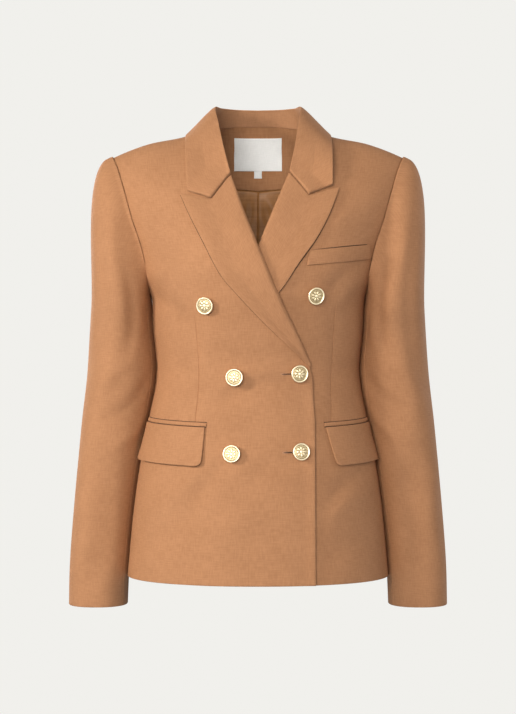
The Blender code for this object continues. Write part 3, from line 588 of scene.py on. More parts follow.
def side_lift(x, height, own_side):
    """The top of whichever front lies at a point."""
    return front_lift(x, height) + (top_front_lift(x, height) if own_side < 0 else 0.0)


sleeve_fold_count = sum(map(len, SLEEVE_FOLDS.values()))
print(f"{len(FRONT_FOLDS) + len(BACK_FOLDS)} folds on the body, {sleeve_fold_count} on the sleeves")

# %% [markdown]
# ## Fronts and back
#
# Two fronts lap over each other, the wearer's right on top, and two backs meet along the centre
# seam. Each front has a waist dart, which is a seam sewn into the panel from the chest to the
# pocket: a narrow groove with the cloth drawn down gently on both sides. The grid of a front has
# one column on the dart and others close beside it, so the groove stays crisp.

# %% The shell
TOP_FRONT_EDGE = table(
    "level x       height",
    (0.00, -0.0750, -0.605),
    (0.75, -0.0745, -0.390),
    (0.92, -0.0710, -0.340),
    (1.00, -0.0670, -0.316),
    (2.00, -0.0190, -0.205),
    (2.70, 0.0440, -0.057),
)
UNDER_FRONT_EDGE = table(
    "level x       height",
    (0.00, -0.0530, -0.605),
    (1.00, -0.0530, -0.316),
    (2.00, -0.0175, -0.205),
    (2.35, 0.0118, -0.131),
    (2.70, 0.0440, -0.057),
)
BACK_EDGE = table(
    "level x       height",
    (0.00, 0.0, -0.605),
    (1.00, 0.0, -0.325),
    (2.00, 0.0, -0.205),
    (2.70, 0.0, 0.023),
)
LEVEL_LENGTH = 0.25          # metres of panel in one level
NECK_LEVEL = 2.7
# x and height of each dart from its top down, in x towards the own side
DARTS = {
    "right": table("height x", (-0.397, 0.0840), (-0.330, 0.0780), (-0.234, 0.0850)),
    "left": table("height x", (-0.397, 0.0987), (-0.330, 0.0990), (-0.228, 0.1035)),
}
DART_GAP = 0.0011            # half width of a dart's groove
DART_DEPTH = 0.0032
DART_DRAW = 0.0010           # how far the cloth beside the dart is drawn down
DART_DRAW_WIDTH = 0.007
FRONT_EDGE_CURL = {"right": 0.0022, "left": 0.0}   # how far the lapped edge stands off below the break
FRONT_EDGE_REACH = 0.009
FRONT_EDGE_TOP = -0.310
FRONT_EDGE_FADE = 0.03
GIRTH_RADIUS = 0.13          # turns a turn round the body into metres of cloth
CLOTH_START = 0.5            # where the cloth's own coordinates start, across
FRONT_WIDTH = 0.2            # about how wide each panel is, for the rounding of its edges
BACK_WIDTH = 0.18


def body_levels():
    near = np.array(EDGE_STEPS) * SHELL_WALL / 2 / LEVEL_LENGTH
    low = np.linspace(0, 2, 121)
    top = 3 - near[::-1]
    return np.concatenate((near, low[low > 0.01], np.linspace(2, NECK_LEVEL, 44)[1:],
                           np.linspace(NECK_LEVEL, 3, 26)[1:-1], top))


def edge_points(edge, levels, neck_from, neck_to):
    """The inner edge of a half: its own table up to the neck level, then the neckline."""
    x = np.interp(levels, edge["level"], edge["x"])
    height = np.interp(levels, edge["level"], edge["height"])
    along = neck_from + (neck_to - neck_from) * np.clip((levels - NECK_LEVEL) / (3 - NECK_LEVEL), 0, 1)
    on_neck = levels > NECK_LEVEL
    x = np.where(on_neck, read(NECKLINE, "along", "x", along), x)
    return x, np.where(on_neck, read(NECKLINE, "along", "height", along), height)


def side_points(levels, column):
    """The outer edge of a half: the side seam up to the underarm, then the armhole."""
    turn = math.pi * (1 - np.clip(levels - 2, 0, 1))
    middle = (SHOULDER_TIP_HEIGHT + UNDERARM_HEIGHT) / 2
    reach = (SHOULDER_TIP_HEIGHT - UNDERARM_HEIGHT) / 2
    below = np.interp(levels, (0, 1, 2), (HEM_HEIGHT, WAIST_HEIGHT, UNDERARM_HEIGHT))
    height = np.where(levels > 2, middle + reach * np.cos(turn), below)
    side_x = read(BODY, "height", "half_width", height)
    return np.where(levels > 2, read(ARMHOLE, "height", column, height), side_x), height


def angle_of(x, height):
    power = read(BODY, "height", "power", height)
    share = np.clip(np.abs(x) / read(BODY, "height", "half_width", height), 0, 1)
    return np.sign(x) * np.arcsin(share ** (power / 2))


def x_of(angle, height):
    power = read(BODY, "height", "power", height)
    half_width = read(BODY, "height", "half_width", height)
    return np.sign(angle) * half_width * np.abs(np.sin(angle)) ** (2 / power)


def half_grid(edge_xz, side_xz, levels, across):
    """Points of a half between its inner edge and its side, a row for each level."""
    edge_x, edge_z, side_x, side_z = (line[:, None] for line in (*edge_xz, *side_xz))
    upper = ramp(2.0, 2.6, levels)[:, None]
    straight_x = edge_x + (side_x - edge_x) * across
    level_z = edge_z + (side_z - edge_z) * across
    edge_rise = (edge_z - ROUND_START) / (shoulder_height(edge_x) - ROUND_START)
    side_rise = (side_z - ROUND_START) / (shoulder_height(side_x) - ROUND_START)
    crest = shoulder_height(straight_x) - ROUND_START
    rolled_z = ROUND_START + (edge_rise + (side_rise - edge_rise) * across) * crest
    height = level_z + (rolled_z - level_z) * upper
    angle = angle_of(edge_x, edge_z) + (angle_of(side_x, side_z) - angle_of(edge_x, edge_z)) * across
    round_x = x_of(angle, height)
    return round_x + (straight_x - round_x) * upper, height


def dart_columns(edge_xz, side_xz, levels, dart):
    """Shares across a front, row by row, with the middle column on the dart's line."""
    height = np.minimum(edge_xz[1], side_xz[1])
    edge_turn, side_turn = angle_of(*edge_xz), angle_of(*side_xz)
    at = (angle_of(read(dart, "height", "x", height), height) - edge_turn) / (side_turn - edge_turn)
    flat_row = np.searchsorted(levels, 2.0)
    at = np.where(levels > 2, at[flat_row - 1], at)
    gap = DART_GAP / FRONT_WIDTH
    left = shares(44, 0.12, SHELL_WALL / 2)[:-3]
    right = 1 - shares(34, 0.09, SHELL_WALL / 2)[:-3][::-1]
    left, right = left / left[-1], (right - right[0]) / (1 - right[0])
    groove = np.array((-0.5, 0.0, 0.5))[None, :] * gap
    at = at[:, None]
    before, after = left[None, :] * (at - gap), at + gap + right[None, :] * (1 - at - gap)
    return np.concatenate((before, at + groove, after), axis=1), len(left) + 1


def panel_full(rows, columns, length, width):
    lip = SHELL_WALL / 2
    return np.minimum(fullness(rows, length, lip)[:, None], fullness(columns, width, lip)[None, :])


def panel_coordinates(x, height, facing):
    return np.stack((angle_of(x, height) * GIRTH_RADIUS * facing + CLOTH_START, height), -1)


# each pattern piece's width and length, and the share of that rectangle that is cloth
CUTS = {
    "front_right": (0.33, 0.66, 0.72),
    "front_left": (0.31, 0.66, 0.72),
    "back_right": (0.25, 0.70, 0.77),
    "back_left": (0.25, 0.70, 0.77),
    "sleeve_right_top": (0.25, 0.63, 0.84),
    "sleeve_left_top": (0.25, 0.63, 0.84),
    "sleeve_right_under": (0.10, 0.48, 0.82),
    "sleeve_left_under": (0.10, 0.48, 0.82),
    "lapel_right": (0.09, 0.28, 0.56),
    "lapel_left": (0.09, 0.28, 0.53),
    "collar_fall": (0.40, 0.085, 0.87),
    "collar_stand": (0.30, 0.045, 0.70),
    "flap_right": (0.125, 0.056, 0.97),
    "flap_left": (0.100, 0.056, 0.97),
    "jetting_right": (0.130, 0.012, 0.50),
    "jetting_left": (0.110, 0.012, 0.48),
    "welt": (0.095, 0.023, 0.97),
    "facing": (0.26, 0.10, 0.87),
    "lining": (0.19, 0.56, 0.89),
    "label": (0.072, 0.047, 1.0),
    "tab": (0.013, 0.013, 0.85),
}

levels = body_levels()
for side_name, own_side, edge in (("right", -1, TOP_FRONT_EDGE), ("left", 1, UNDER_FRONT_EDGE)):
    edge_xz, side_xz = edge_points(edge, levels, 6, 3), side_points(levels, "front_x")
    dart = DARTS[side_name]
    across, dart_column = dart_columns(edge_xz, side_xz, levels, dart)
    x, height = half_grid(edge_xz, side_xz, levels, across)
    x = x * own_side
    lift = side_lift(x, height, own_side)
    sewn = ramp(dart["height"][0] - 0.004, dart["height"][0] + 0.004, height) * (
        1 - ramp(dart["height"][-1] - 0.045, dart["height"][-1] + 0.002, height))
    beside = np.abs(np.abs(x) - read(dart, "height", "x", height))
    lift = lift - sewn * DART_DRAW * np.exp(-(beside / DART_DRAW_WIDTH) ** 2)
    lift[:, dart_column] -= sewn[:, dart_column] * DART_DEPTH
    from_edge = np.abs(x - x[:, :1])
    lift = lift + FRONT_EDGE_CURL[side_name] * np.exp(-(from_edge / FRONT_EDGE_REACH) ** 2) * (
        1 - ramp(FRONT_EDGE_TOP - FRONT_EDGE_FADE, FRONT_EDGE_TOP, height))
    full = panel_full(levels / 3, across[0], 3 * LEVEL_LENGTH, FRONT_WIDTH)
    cloth_piece(f"front_{side_name}", body_point(x, height, -1, lift), body_normal(x, height, -1 + 0 * x),
                SHELL_WALL, full, CUTS[f"front_{side_name}"], coordinates=panel_coordinates(x, height, 1))

for side_name, own_side in (("right", -1), ("left", 1)):
    across = shares(70, BACK_WIDTH, SHELL_WALL / 2)
    edge_xz, side_xz = edge_points(BACK_EDGE, levels, 0, 3), side_points(levels, "back_x")
    x, height = half_grid(edge_xz, side_xz, levels, across[None, :])
    x = x * own_side
    lift = fold_lift(x, height, BACK_FOLDS)
    full = panel_full(levels / 3, across, 3 * LEVEL_LENGTH, BACK_WIDTH)
    cloth_piece(f"back_{side_name}", body_point(x, height, 1, lift), body_normal(x, height, 1 + 0 * x),
                SHELL_WALL, full, CUTS[f"back_{side_name}"], coordinates=panel_coordinates(x, height, -1))

# %% [markdown]
# ## Sleeves
#
# A tailored sleeve is two pieces, a wide top and a narrow under sleeve. It is sewn into the
# armhole with a soft roll at its head, and bends a little at the elbow. Each ring of the sleeve
# is a rounded box that narrows to the cuff; the cap runs from the armhole oval to the first ring.

# %% The sleeves
SLEEVE = table(
    "height  inner   outer   front   back",
    (-0.646, 0.1822, 0.2600, -0.032, 0.052),
    (-0.605, 0.1806, 0.2595, -0.031, 0.055),
    (-0.502, 0.1706, 0.2528, -0.031, 0.065),
    (-0.441, 0.1616, 0.2473, -0.033, 0.071),
    (-0.393, 0.1521, 0.2428, -0.035, 0.075),
    (-0.325, 0.1408, 0.2348, -0.041, 0.077),
    (-0.269, 0.1450, 0.2303, -0.0465, 0.0745),
    (-0.240, 0.1474, 0.2280, -0.055, 0.066),
)
SLEEVE_POWER = 2.3
CAP_END = -0.240
CAP_START_PULL = 0.60        # how far the cap stands out before it turns down
CAP_END_PULL = 0.90
UNDERARM_PULL = 0.1          # the share of it that is left at the underarm, against the body
CAP_LENGTH = 0.2             # about how long the cap and the rest are, for the rounding of their edges
SLEEVE_LENGTH = 0.4
CAP_GAP = 0.0004             # the sleeve starts this far out from the armhole
CAP_EASE = 0.0016            # the roll at the sleeve head
FRONT_SEAM_TURN = math.radians(148)
BACK_SEAM_TURN = math.radians(-118)


def armhole_point(turn):
    """The armhole: turn 0 is the shoulder tip, a quarter turn the front, a half the underarm."""
    middle = (SHOULDER_TIP_HEIGHT + UNDERARM_HEIGHT) / 2
    reach = (SHOULDER_TIP_HEIGHT - UNDERARM_HEIGHT) / 2
    height = middle + reach * np.cos(turn)
    ahead = np.sin(turn) >= 0
    front_x, back_x = (read(ARMHOLE, "height", key, height) for key in ("front_x", "back_x"))
    point = body_point(np.where(ahead, front_x, back_x), height, np.where(ahead, -1, 1))
    away = unit(np.stack((0.8 + 0 * turn, -0.3 * np.sin(turn), 0.15 - 0.05 * np.cos(turn)), -1))
    return point + away * CAP_GAP


def sleeve_ring(turn, height):
    inner, outer = (read(SLEEVE, "height", key, height) for key in ("inner", "outer"))
    front, back = (read(SLEEVE, "height", key, height) for key in ("front", "back"))
    round_x = np.sign(np.cos(turn)) * np.abs(np.cos(turn)) ** (2 / SLEEVE_POWER)
    round_y = np.sign(np.sin(turn)) * np.abs(np.sin(turn)) ** (2 / SLEEVE_POWER)
    x = (inner + outer) / 2 + (outer - inner) / 2 * round_x
    y = (front + back) / 2 - (back - front) / 2 * round_y
    return np.stack((x, y, height + 0 * x), -1)


def sleeve_point(turn, down):
    """A point of the left sleeve; down runs 0 to 1 over the cap and 1 to 2 to the cuff."""
    turn, down = np.broadcast_arrays(turn, down)
    height = CAP_END + (CUFF_HEIGHT - CAP_END) * np.clip(down - 1, 0, 1)
    ring = sleeve_ring(turn, height)
    start = armhole_point(turn)
    end = sleeve_ring(turn, np.full_like(height, CAP_END))
    below = sleeve_ring(turn, np.full_like(height, CAP_END - 0.002))
    reach = np.linalg.norm(end - start, axis=-1, keepdims=True)
    out = unit(np.stack((0.9 + 0 * turn, -0.30 * np.sin(turn), -0.20 + 0.30 * np.cos(turn)), -1))
    t = np.clip(down, 0, 1)[..., None]
    pull = CAP_START_PULL * (UNDERARM_PULL + (1 - UNDERARM_PULL) * ramp(-0.98, -0.5, np.cos(turn)))[..., None]
    cap = (
        start * (1 + 2 * t) * (1 - t) ** 2
        + out * reach * pull * t * (1 - t) ** 2
        + end * t * t * (3 - 2 * t)
        - unit(below - end) * reach * CAP_END_PULL * t * t * (1 - t)
    )
    return np.where(down[..., None] > 1, ring, cap)


def sleeve_normal(turn, down):
    step = 1e-3
    along = sleeve_point(turn, np.clip(down + step, 0, 2)) - sleeve_point(turn, np.clip(down - step, 0, 2))
    around = sleeve_point(turn + step, down) - sleeve_point(turn - step, down)
    return unit(np.cross(along, around))


cap_near = np.array(EDGE_STEPS) * SHELL_WALL / 2 / CAP_LENGTH
cuff_near = np.array(EDGE_STEPS) * SHELL_WALL / 2 / SLEEVE_LENGTH
cap_rows, sleeve_rows = np.linspace(0, 1, 52)[1:], np.linspace(1, 2, 84)[1:-1]
downs = np.concatenate((cap_near, cap_rows, sleeve_rows, (2 - cuff_near)[::-1]))
down_full = np.minimum(fullness(np.clip(downs, 0, 0.5), CAP_LENGTH, SHELL_WALL / 2),
                       fullness(np.clip(downs / 2, 0.5, 1), 2 * SLEEVE_LENGTH, SHELL_WALL / 2))
for side_name, own_side in (("right", -1), ("left", 1)):
    for part_name, first, last, count in (
        ("top", BACK_SEAM_TURN, FRONT_SEAM_TURN, 96),
        ("under", FRONT_SEAM_TURN, BACK_SEAM_TURN + 2 * math.pi, 44),
    ):
        width = (last - first) * SLEEVE_RADIUS
        across = shares(count, width, SHELL_WALL / 2)
        turn = (first + (last - first) * across)[None, :] + 0 * downs[:, None]
        down = downs[:, None] + 0 * turn
        points, normals = sleeve_point(turn, down), sleeve_normal(turn, down)
        around = np.where(turn > math.pi, turn - 2 * math.pi, turn)
        folds = [(math.radians(a) * SLEEVE_RADIUS, z0, math.radians(b) * SLEEVE_RADIUS, z1, w, s)
                 for a, z0, b, z1, w, s in SLEEVE_FOLDS[side_name]]
        lift = fold_lift(around * SLEEVE_RADIUS, points[..., 2], folds) * ramp(0.0, 0.5, down)
        on_cap = ramp(0.0, 0.06, down) * (1 - ramp(0.08, 0.5, down))
        ease = CAP_EASE * on_cap * ramp(-0.9, 0.2, np.cos(turn))
        points = points + normals * (lift + ease)[..., None]
        full = np.minimum(down_full[:, None], fullness(across, width, SHELL_WALL / 2)[None, :])
        mirror = np.array((own_side, 1, 1))
        name = f"sleeve_{side_name}_{part_name}"
        grain = np.stack((turn * SLEEVE_RADIUS + own_side, points[..., 2]), -1)
        cloth_piece(name, points * mirror, normals * mirror, SHELL_WALL, full, CUTS[name],
                    coordinates=grain)

# %% [markdown]
# ## Shaded grooves
#
# A pocket's mouth, a buttonhole's slit and the seam above a jetting are narrow openings that
# show dark. Each is filled with a thin dark strip of painted shade just above the front. The same
# strips are painted contact shade outside the edges of the lapels and the lapped front, about a
# millimetre wide, because soft light from the front alone leaves those edges fainter than they are.

# %% Dark strips
SLIT_WALL = 0.0008
# Painted shade: one near-black brown for every dark strip.
dark_finish, _, _, dark_shader = blank_material("painted_shade_strip")
dark_shader.inputs["Base Color"].default_value = (0.060, 0.026, 0.011, 1.0)
dark_shader.inputs["Roughness"].default_value = 0.95


def dark_strip(name, low, high, own_side, raised):
    """A thin dark strip of painted shade between two lines of x and height on a front."""
    count = len(low)
    x, height = np.concatenate((low, high)).T
    lift = side_lift(x, height, own_side)
    outline, under = (body_point(x, height, -1, lift + rise) for rise in (raised, raised - SLIT_WALL))
    corners = np.concatenate((outline, under))
    steps = np.arange(count - 1)
    rows = (0, count, 2 * count, 3 * count)
    pairs = ((0, 1), (3, 2), (1, 3), (2, 0))
    faces = [(rows[a] + i, rows[a] + i + 1, rows[b] + i + 1, rows[b] + i)
             for a, b in pairs for i in steps.tolist()]
    last = count - 1
    faces += [(rows[0], rows[1], rows[3], rows[2]),
              (rows[0] + last, rows[2] + last, rows[3] + last, rows[1] + last)]
    mesh = bpy.data.meshes.new(name)
    mesh.from_pydata(corners.tolist(), [], faces)
    mesh.validate()
    if mesh.polygons[0].normal.y > 0:
        mesh.flip_normals()
    mesh.materials.append(dark_finish)
    piece = bpy.data.objects.new(name, mesh)
    bpy.context.scene.collection.objects.link(piece)
    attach(piece, "root")
    return piece


# %% [markdown]
# ## Lapels
#
# A lapel is the front's own facing turned back along the roll line, so it rolls round that line
# instead of lying flat, and its outer edge is pressed sharp. It is laid over the front between
# four lines: the gorge and the peak at the top, the roll line, the outer edge, and the break at
# its foot. Near the roll line it springs up a little, then drops round the front's edge.

# %% Lapels
GORGE_END = (0.0395, -0.0590)
NOTCH = (0.0647, -0.0930)
COLLAR_TIP = (0.0965, -0.0810)
PEAK_TIP = (0.1060, -0.0840)
LEAN_SHIFT = 0.0027
LEAN_SLOPE = 0.043
LAPEL_SIDES = {
    "right": (-1, (-0.0680, -0.3160),
              ((0.093, -0.112), (0.072, -0.153), (0.045, -0.201), (0.024, -0.225),
               (-0.013, -0.2645), (-0.053, -0.304), (-0.0665, -0.3185))),
    "left": (1, (-0.0550, -0.3160),
             ((0.096, -0.112), (0.078, -0.147), (0.053, -0.1825), (0.0286, -0.218),
              (-0.008, -0.257), (-0.040, -0.296), (-0.0535, -0.3185))),
}
LAPEL_ROLL = 0.0030          # how far the lapel springs off the front beside its roll line
ROLL_RADIUS = 0.0032
EDGE_CURL = 0.0026           # how far the outer edge stands off the front
ROLL_OVERHANG = 0.0014       # the roll stands this far past the front's edge
ROLL_BOW = 0.0038            # the roll lines bow this far to the wearer's right
ROLL_BOW_HIGH = -0.060
ROLL_BOW_LOW = -0.290
PRESSED_EDGE = 0.0010
GORGE_GAP = 0.0004
LAPEL_WIDTH = 0.075          # about how wide and long a lapel is, for the rounding of its edges
LAPEL_LENGTH = 0.28
SHADE_UNDER = 0.0007         # a strip of shade runs this far in under its edge
SHADE_RISE = 0.0006
LAPEL_SHADE = {"right": 0.0009, "left": 0.0013}
PEAK_SHADE = 0.0008
FRONT_SHADE = 0.0013
CROSSING_HEIGHT = -0.236     # the left lapel goes under the right front here
BREAK_HEIGHT = -0.318

front_edge_height = np.linspace(BREAK_HEIGHT, HEM_HEIGHT + 0.002, 90)
front_edge_x = -np.interp(front_edge_height, TOP_FRONT_EDGE["height"], TOP_FRONT_EDGE["x"])
FRONT_EDGE_LINE = np.stack((front_edge_x, front_edge_height), -1)


def patch(top, bottom, left, right, across, down):
    """Points between four edges; top and bottom run left to right, the others downwards."""
    across, down = across[None, :, None], down[:, None, None]
    corners = (
        (1 - across) * (1 - down) * top[0] + across * (1 - down) * top[-1]
        + (1 - across) * down * bottom[0] + across * down * bottom[-1]
    )
    return (
        (1 - down) * top[None] + down * bottom[None]
        + (1 - across) * left[:, None] + across * right[:, None] - corners
    )


def smooth_line(points, at):
    """A smooth line through points, read at shares of its length."""
    points = np.array(points, float)
    lengths = np.concatenate(([0], np.cumsum(np.linalg.norm(np.diff(points, axis=0), axis=1))))
    rows = {"share": lengths / lengths[-1], "x": points[:, 0], "z": points[:, 1]}
    return np.stack([read(rows, "share", key, at) for key in ("x", "z")], -1)


def straight(start, end, at):
    return np.array(start) + (np.array(end) - np.array(start)) * np.asarray(at)[:, None]


def lean(point, own_side):
    """A point of the neck's front, given for one side, set to its place on that side."""
    x, height = point
    return own_side * x + LEAN_SHIFT, height + LEAN_SLOPE * own_side * x


def shade_edge(name, line, own_side, outer_side, shade_width):
    """The shade just outside an edge that lies on a front, tapered to its ends.

    outer_side is 1 where the outside is to the right of the line as it runs, and -1 to the left.
    """
    tangent = np.gradient(line, axis=0)
    outwards = np.stack((tangent[:, 1], -tangent[:, 0]), -1) / np.linalg.norm(tangent, axis=1)[:, None]
    outwards = outwards * outer_side
    width = shade_width * np.sin(np.linspace(0.04, 0.96, len(line)) * math.pi)[:, None] ** 0.4
    dark_strip(name, line + outwards * width, line - outwards * SHADE_UNDER, own_side, SHADE_RISE)


for side_name, (own_side, roll_break, edge) in LAPEL_SIDES.items():
    across = shares(56, LAPEL_WIDTH, PRESSED_EDGE)
    across = np.unique(np.concatenate((across, (0.5,), np.linspace(0, 0.10, 14))))
    down = shares(110, LAPEL_LENGTH, PRESSED_EDGE)
    gorge_end, notch, peak = (np.array(lean(point, own_side)) for point in (GORGE_END, NOTCH, PEAK_TIP))
    gorge, peak_edge = straight(gorge_end, notch, across * 2), straight(notch, peak, across * 2 - 1)
    top = np.where(across[:, None] < 0.5, gorge, peak_edge)
    top = top - np.array((0, GORGE_GAP))
    right = smooth_line([top[-1]] + [(own_side * x, height) for x, height in edge], down)
    roll_end = np.array((own_side * roll_break[0], roll_break[1]))
    left = straight(top[0], roll_end, down)
    bowed = np.sin(np.clip((left[:, 1] - ROLL_BOW_HIGH) / (ROLL_BOW_LOW - ROLL_BOW_HIGH), 0, 1) * math.pi)
    left[:, 0] -= (ROLL_BOW - own_side * ROLL_OVERHANG / 2) * bowed
    bottom = straight(roll_end, right[-1], across)
    grid = patch(top, bottom, left, right, across, down)
    x, height = grid[..., 0], grid[..., 1]
    from_roll = np.abs(x - x[:, :1])
    x = x - own_side * ROLL_OVERHANG * np.exp(-from_roll / 0.006) * (1 - ramp(0.90, 1.0, down))[:, None]
    spring = LAPEL_ROLL * np.exp(-((across[None, :] - 0.14) / 0.24) ** 2) * ramp(-0.31, -0.20, height)
    spring = spring * ramp(0, 0.25, down)[:, None]
    if own_side > 0:
        spring = spring * ramp(-0.150, -0.110, height)
    curl = EDGE_CURL * ramp(0.55, 1.0, across)[None, :] * (1 - ramp(0.85, 1.0, down))[:, None]
    stack = LAYER_GAP + SHELL_WALL + spring + curl
    depth = np.clip(1 - from_roll / ROLL_RADIUS, 0, 1)
    drop = (stack + 0.0008) * (1 - np.sqrt(1 - depth**2)) * (1 - ramp(0.92, 1.0, down))[:, None]
    lift = side_lift(x, height, own_side) + stack - drop
    points = body_point(x, height, -1, lift)
    normals = grid_normals(points)
    if normals[40, 30, 1] > 0:
        normals = -normals
    full = np.minimum(fullness(across, LAPEL_WIDTH, PRESSED_EDGE)[None, :],
                      fullness(down, LAPEL_LENGTH, PRESSED_EDGE)[:, None])
    full[:, 0] = 0.0
    cloth_piece(f"lapel_{side_name}", points, normals, SHELL_WALL, full, CUTS[f"lapel_{side_name}"])
    shaded = down < 0.80
    if side_name == "left":
        shaded = (down > 0.04) & (right[:, 1] > CROSSING_HEIGHT)
    shade_edge(f"lapel_shade_{side_name}", right[shaded], own_side, -own_side, LAPEL_SHADE[side_name])
    if side_name == "right":
        shade_edge("lapel_shade_peak", top[across >= 0.5], own_side, -1, PEAK_SHADE)
        shade_edge("front_edge_shade", FRONT_EDGE_LINE, 1, -1, FRONT_SHADE)

# %% [markdown]
# ## Collar
#
# The collar stands up inside the neck and falls over its own fold to the outer edge, where it
# lies on the shoulders. The fall and the stand are two pieces that meet under the fold. The ends
# of the fall come down to the gorge and show the notch against the lapels. Points that would
# sink into the shoulders are pushed out to lie on them.

# %% Collar
COLLAR = table(
    "along fold_x  fold_y   fold_z   edge_x  edge_y   edge_z",
    (0, 0.0000, 0.0620, 0.0442, 0.0000, 0.0870, -0.0060),
    (1, 0.0305, 0.0575, 0.0444, 0.0430, 0.0840, -0.0060),
    (2, 0.0518, 0.0380, 0.0436, 0.0830, 0.0555, -0.0045),
    (3, 0.0608, 0.0060, 0.0400, 0.0985, 0.0060, 0.0030),
    (4, 0.0565, -0.0250, 0.0150, 0.1000, -0.0380, -0.0140),
    (5, 0.0495, -0.0520, -0.0200, 0.0985, -0.0660, -0.0470),
    (6, 0.0395, -0.0745, -0.0590, 0.0965, -0.0790, -0.0810),
)
COLLAR_LEAN = table("along share", (0, 0.0), (3, 0.0), (4, 0.3), (5, 0.7), (6, 1.0))
CREST_PULL = 0.020           # how wide the fall turns at the fold
CREST_COVER = 0.0022
COLLAR_CLEAR = 2 * LAYER_GAP + SHELL_WALL
STAND_OFF_REACH = 0.008
NOTCH_SHARE = 0.58           # where the gorge meets the notch, across the fall's end
STATIONS_AROUND = 97
FOLD_FORWARD = 0.009         # how far forward the fold stands on the left; a third of that on the right
STAND_FOOT_LIFT = -0.0042    # the stand is sewn to the facing, inside the shell


def shoulder_surface():
    """The outer faces of the shoulders, as one surface to lay the collar on."""
    corners, faces = [], []
    rows, columns = 90, 50
    turns = np.linspace(0, math.pi, rows + 1)[:, None]
    for own_side in (-1, 1):
        across = np.linspace(0.060, 0.140, columns + 1)[None, :] * own_side
        height = ROUND_START + (shoulder_height(across) - ROUND_START) * np.sin(turns)
        grid = body_point(across, height, np.where(turns < math.pi / 2, -1, 1)).reshape(-1, 3)
        first = len(corners)
        corners += [Vector(point) for point in grid]
        for i in range(rows):
            for j in range(columns):
                start = first + (columns + 1) * i + j
                face = (start, start + 1, start + columns + 2, start + columns + 1)
                faces.append(face if own_side > 0 else face[::-1])
    return BVHTree.FromPolygons(corners, faces)


def stand_off(points, surface, clear):
    """Move points that lie closer than clear to the shoulders out to that distance."""
    moved = points.copy()
    for place in np.ndindex(points.shape[:-1]):
        point = Vector(points[place])
        foot, normal, _, _ = surface.find_nearest(point)
        if normal.z < 0:
            normal = -normal
        height = (point - foot).dot(normal)
        if height < clear and (point - foot).length < STAND_OFF_REACH:
            moved[place] = point + normal * (clear - height)
    return moved


def leaned(points, along, own_side):
    """The front of the collar leans with the lapels."""
    share = read(COLLAR_LEAN, "along", "share", along)[..., None]
    shifted = points * np.stack((own_side, 1 + 0 * own_side, 1 + 0 * own_side), -1)
    lifted = np.stack((np.full_like(shifted[..., 0], LEAN_SHIFT), 0 * shifted[..., 0],
                       LEAN_SLOPE * shifted[..., 0]), -1)
    return shifted + share * lifted


def smoothed(field, times):
    """A grid of values with its bumps spread over their neighbours along the neck."""
    for _ in range(times):
        padded_field = np.pad(field, ((0, 0), (1, 1), (0, 0)), mode="edge")
        field = (padded_field[:, :-2] + 2 * padded_field[:, 1:-1] + padded_field[:, 2:]) / 4
    return field


stations = np.linspace(-6, 6, STATIONS_AROUND)
along, own = np.abs(stations), np.where(stations < 0, -1.0, 1.0)
fold, edge = (
    leaned(np.stack([read(COLLAR, "along", key, along) for key in keys], -1), along, own)
    for keys in (("fold_x", "fold_y", "fold_z"), ("edge_x", "edge_y", "edge_z"))
)
neck_x = NECKLINE["x"]
neck_z = np.minimum(NECKLINE["height"], shoulder_height(neck_x))
neck = body_point(neck_x, neck_z, np.where(NECKLINE["along"] > 3, -1, 1), STAND_FOOT_LIFT)
seam = leaned(np.stack([np.interp(along, NECKLINE["along"], neck[:, k]) for k in range(3)], -1), along, own)
turned = np.sin(np.clip((along - 2.2) / 3.6, 0, 1) * math.pi)
fold[:, 1] -= np.where(own > 0, FOLD_FORWARD, FOLD_FORWARD / 3) * turned
out = unit((edge - fold) * np.array((1, 1, 0)))
fall_shares = shares(40, 0.05, PRESSED_EDGE)
fall_shares = np.unique(np.concatenate((fall_shares, (NOTCH_SHARE,), np.linspace(0, 0.2, 16))))
across = fall_shares[:, None, None]
start = fold - out * CREST_COVER
fall = (
    start * (1 + 2 * across) * (1 - across) ** 2
    + out * CREST_PULL * across * (1 - across) ** 2
    + edge * across**2 * (3 - 2 * across)
    - (edge - fold) * across**2 * (1 - across)
)
for end, own_side in ((0, -1), (STATIONS_AROUND - 1, 1)):
    corners = [np.array(lean(point, own_side)) for point in (GORGE_END, NOTCH, COLLAR_TIP)]
    line = np.stack([np.interp(fall_shares, (0, NOTCH_SHARE, 1), [corner[k] for corner in corners])
                     for k in (0, 1)], -1)
    line = body_point(line[:, 0], line[:, 1] + GORGE_GAP, -1, COLLAR_CLEAR)[:, (0, 2)]
    pull = (line - fall[:, end, (0, 2)])[:, None, :]
    fade = (1 - np.clip(np.abs(stations - stations[end]) / 2.0, 0, 1)) ** 1.5
    fall[..., 0] += fade[None, :] * pull[..., 0]
    fall[..., 2] += fade[None, :] * pull[..., 1]
x, height = fall[..., 0], fall[..., 2]
chest_normals = body_normal(x, height, np.full_like(x, -1.0))
chest = body_y(x, height, np.full_like(x, -1.0)) + SEAM_PLANE_Y + COLLAR_CLEAR / np.minimum(
    chest_normals[..., 1], -0.2)
laid = fall.copy()
laid[..., 1] = np.minimum(fall[..., 1], chest)
share = ramp(3.5, 4.5, along)[None, :, None]
clear_of_shoulders = smoothed(stand_off(fall, shoulder_surface(), COLLAR_CLEAR) - fall, 6)
fall = (fall + clear_of_shoulders) * (1 - share) + laid * share
normals = grid_normals(fall)
if normals[8, STATIONS_AROUND // 2, 1] < 0:
    normals = -normals
neck_share = (stations + 6) / 12
full = np.minimum(fullness(fall_shares, 0.05, PRESSED_EDGE)[:, None],
                  fullness(neck_share, 0.35, PRESSED_EDGE)[None, :])
cloth_piece("collar_fall", fall, normals, SHELL_WALL, full, CUTS["collar_fall"])

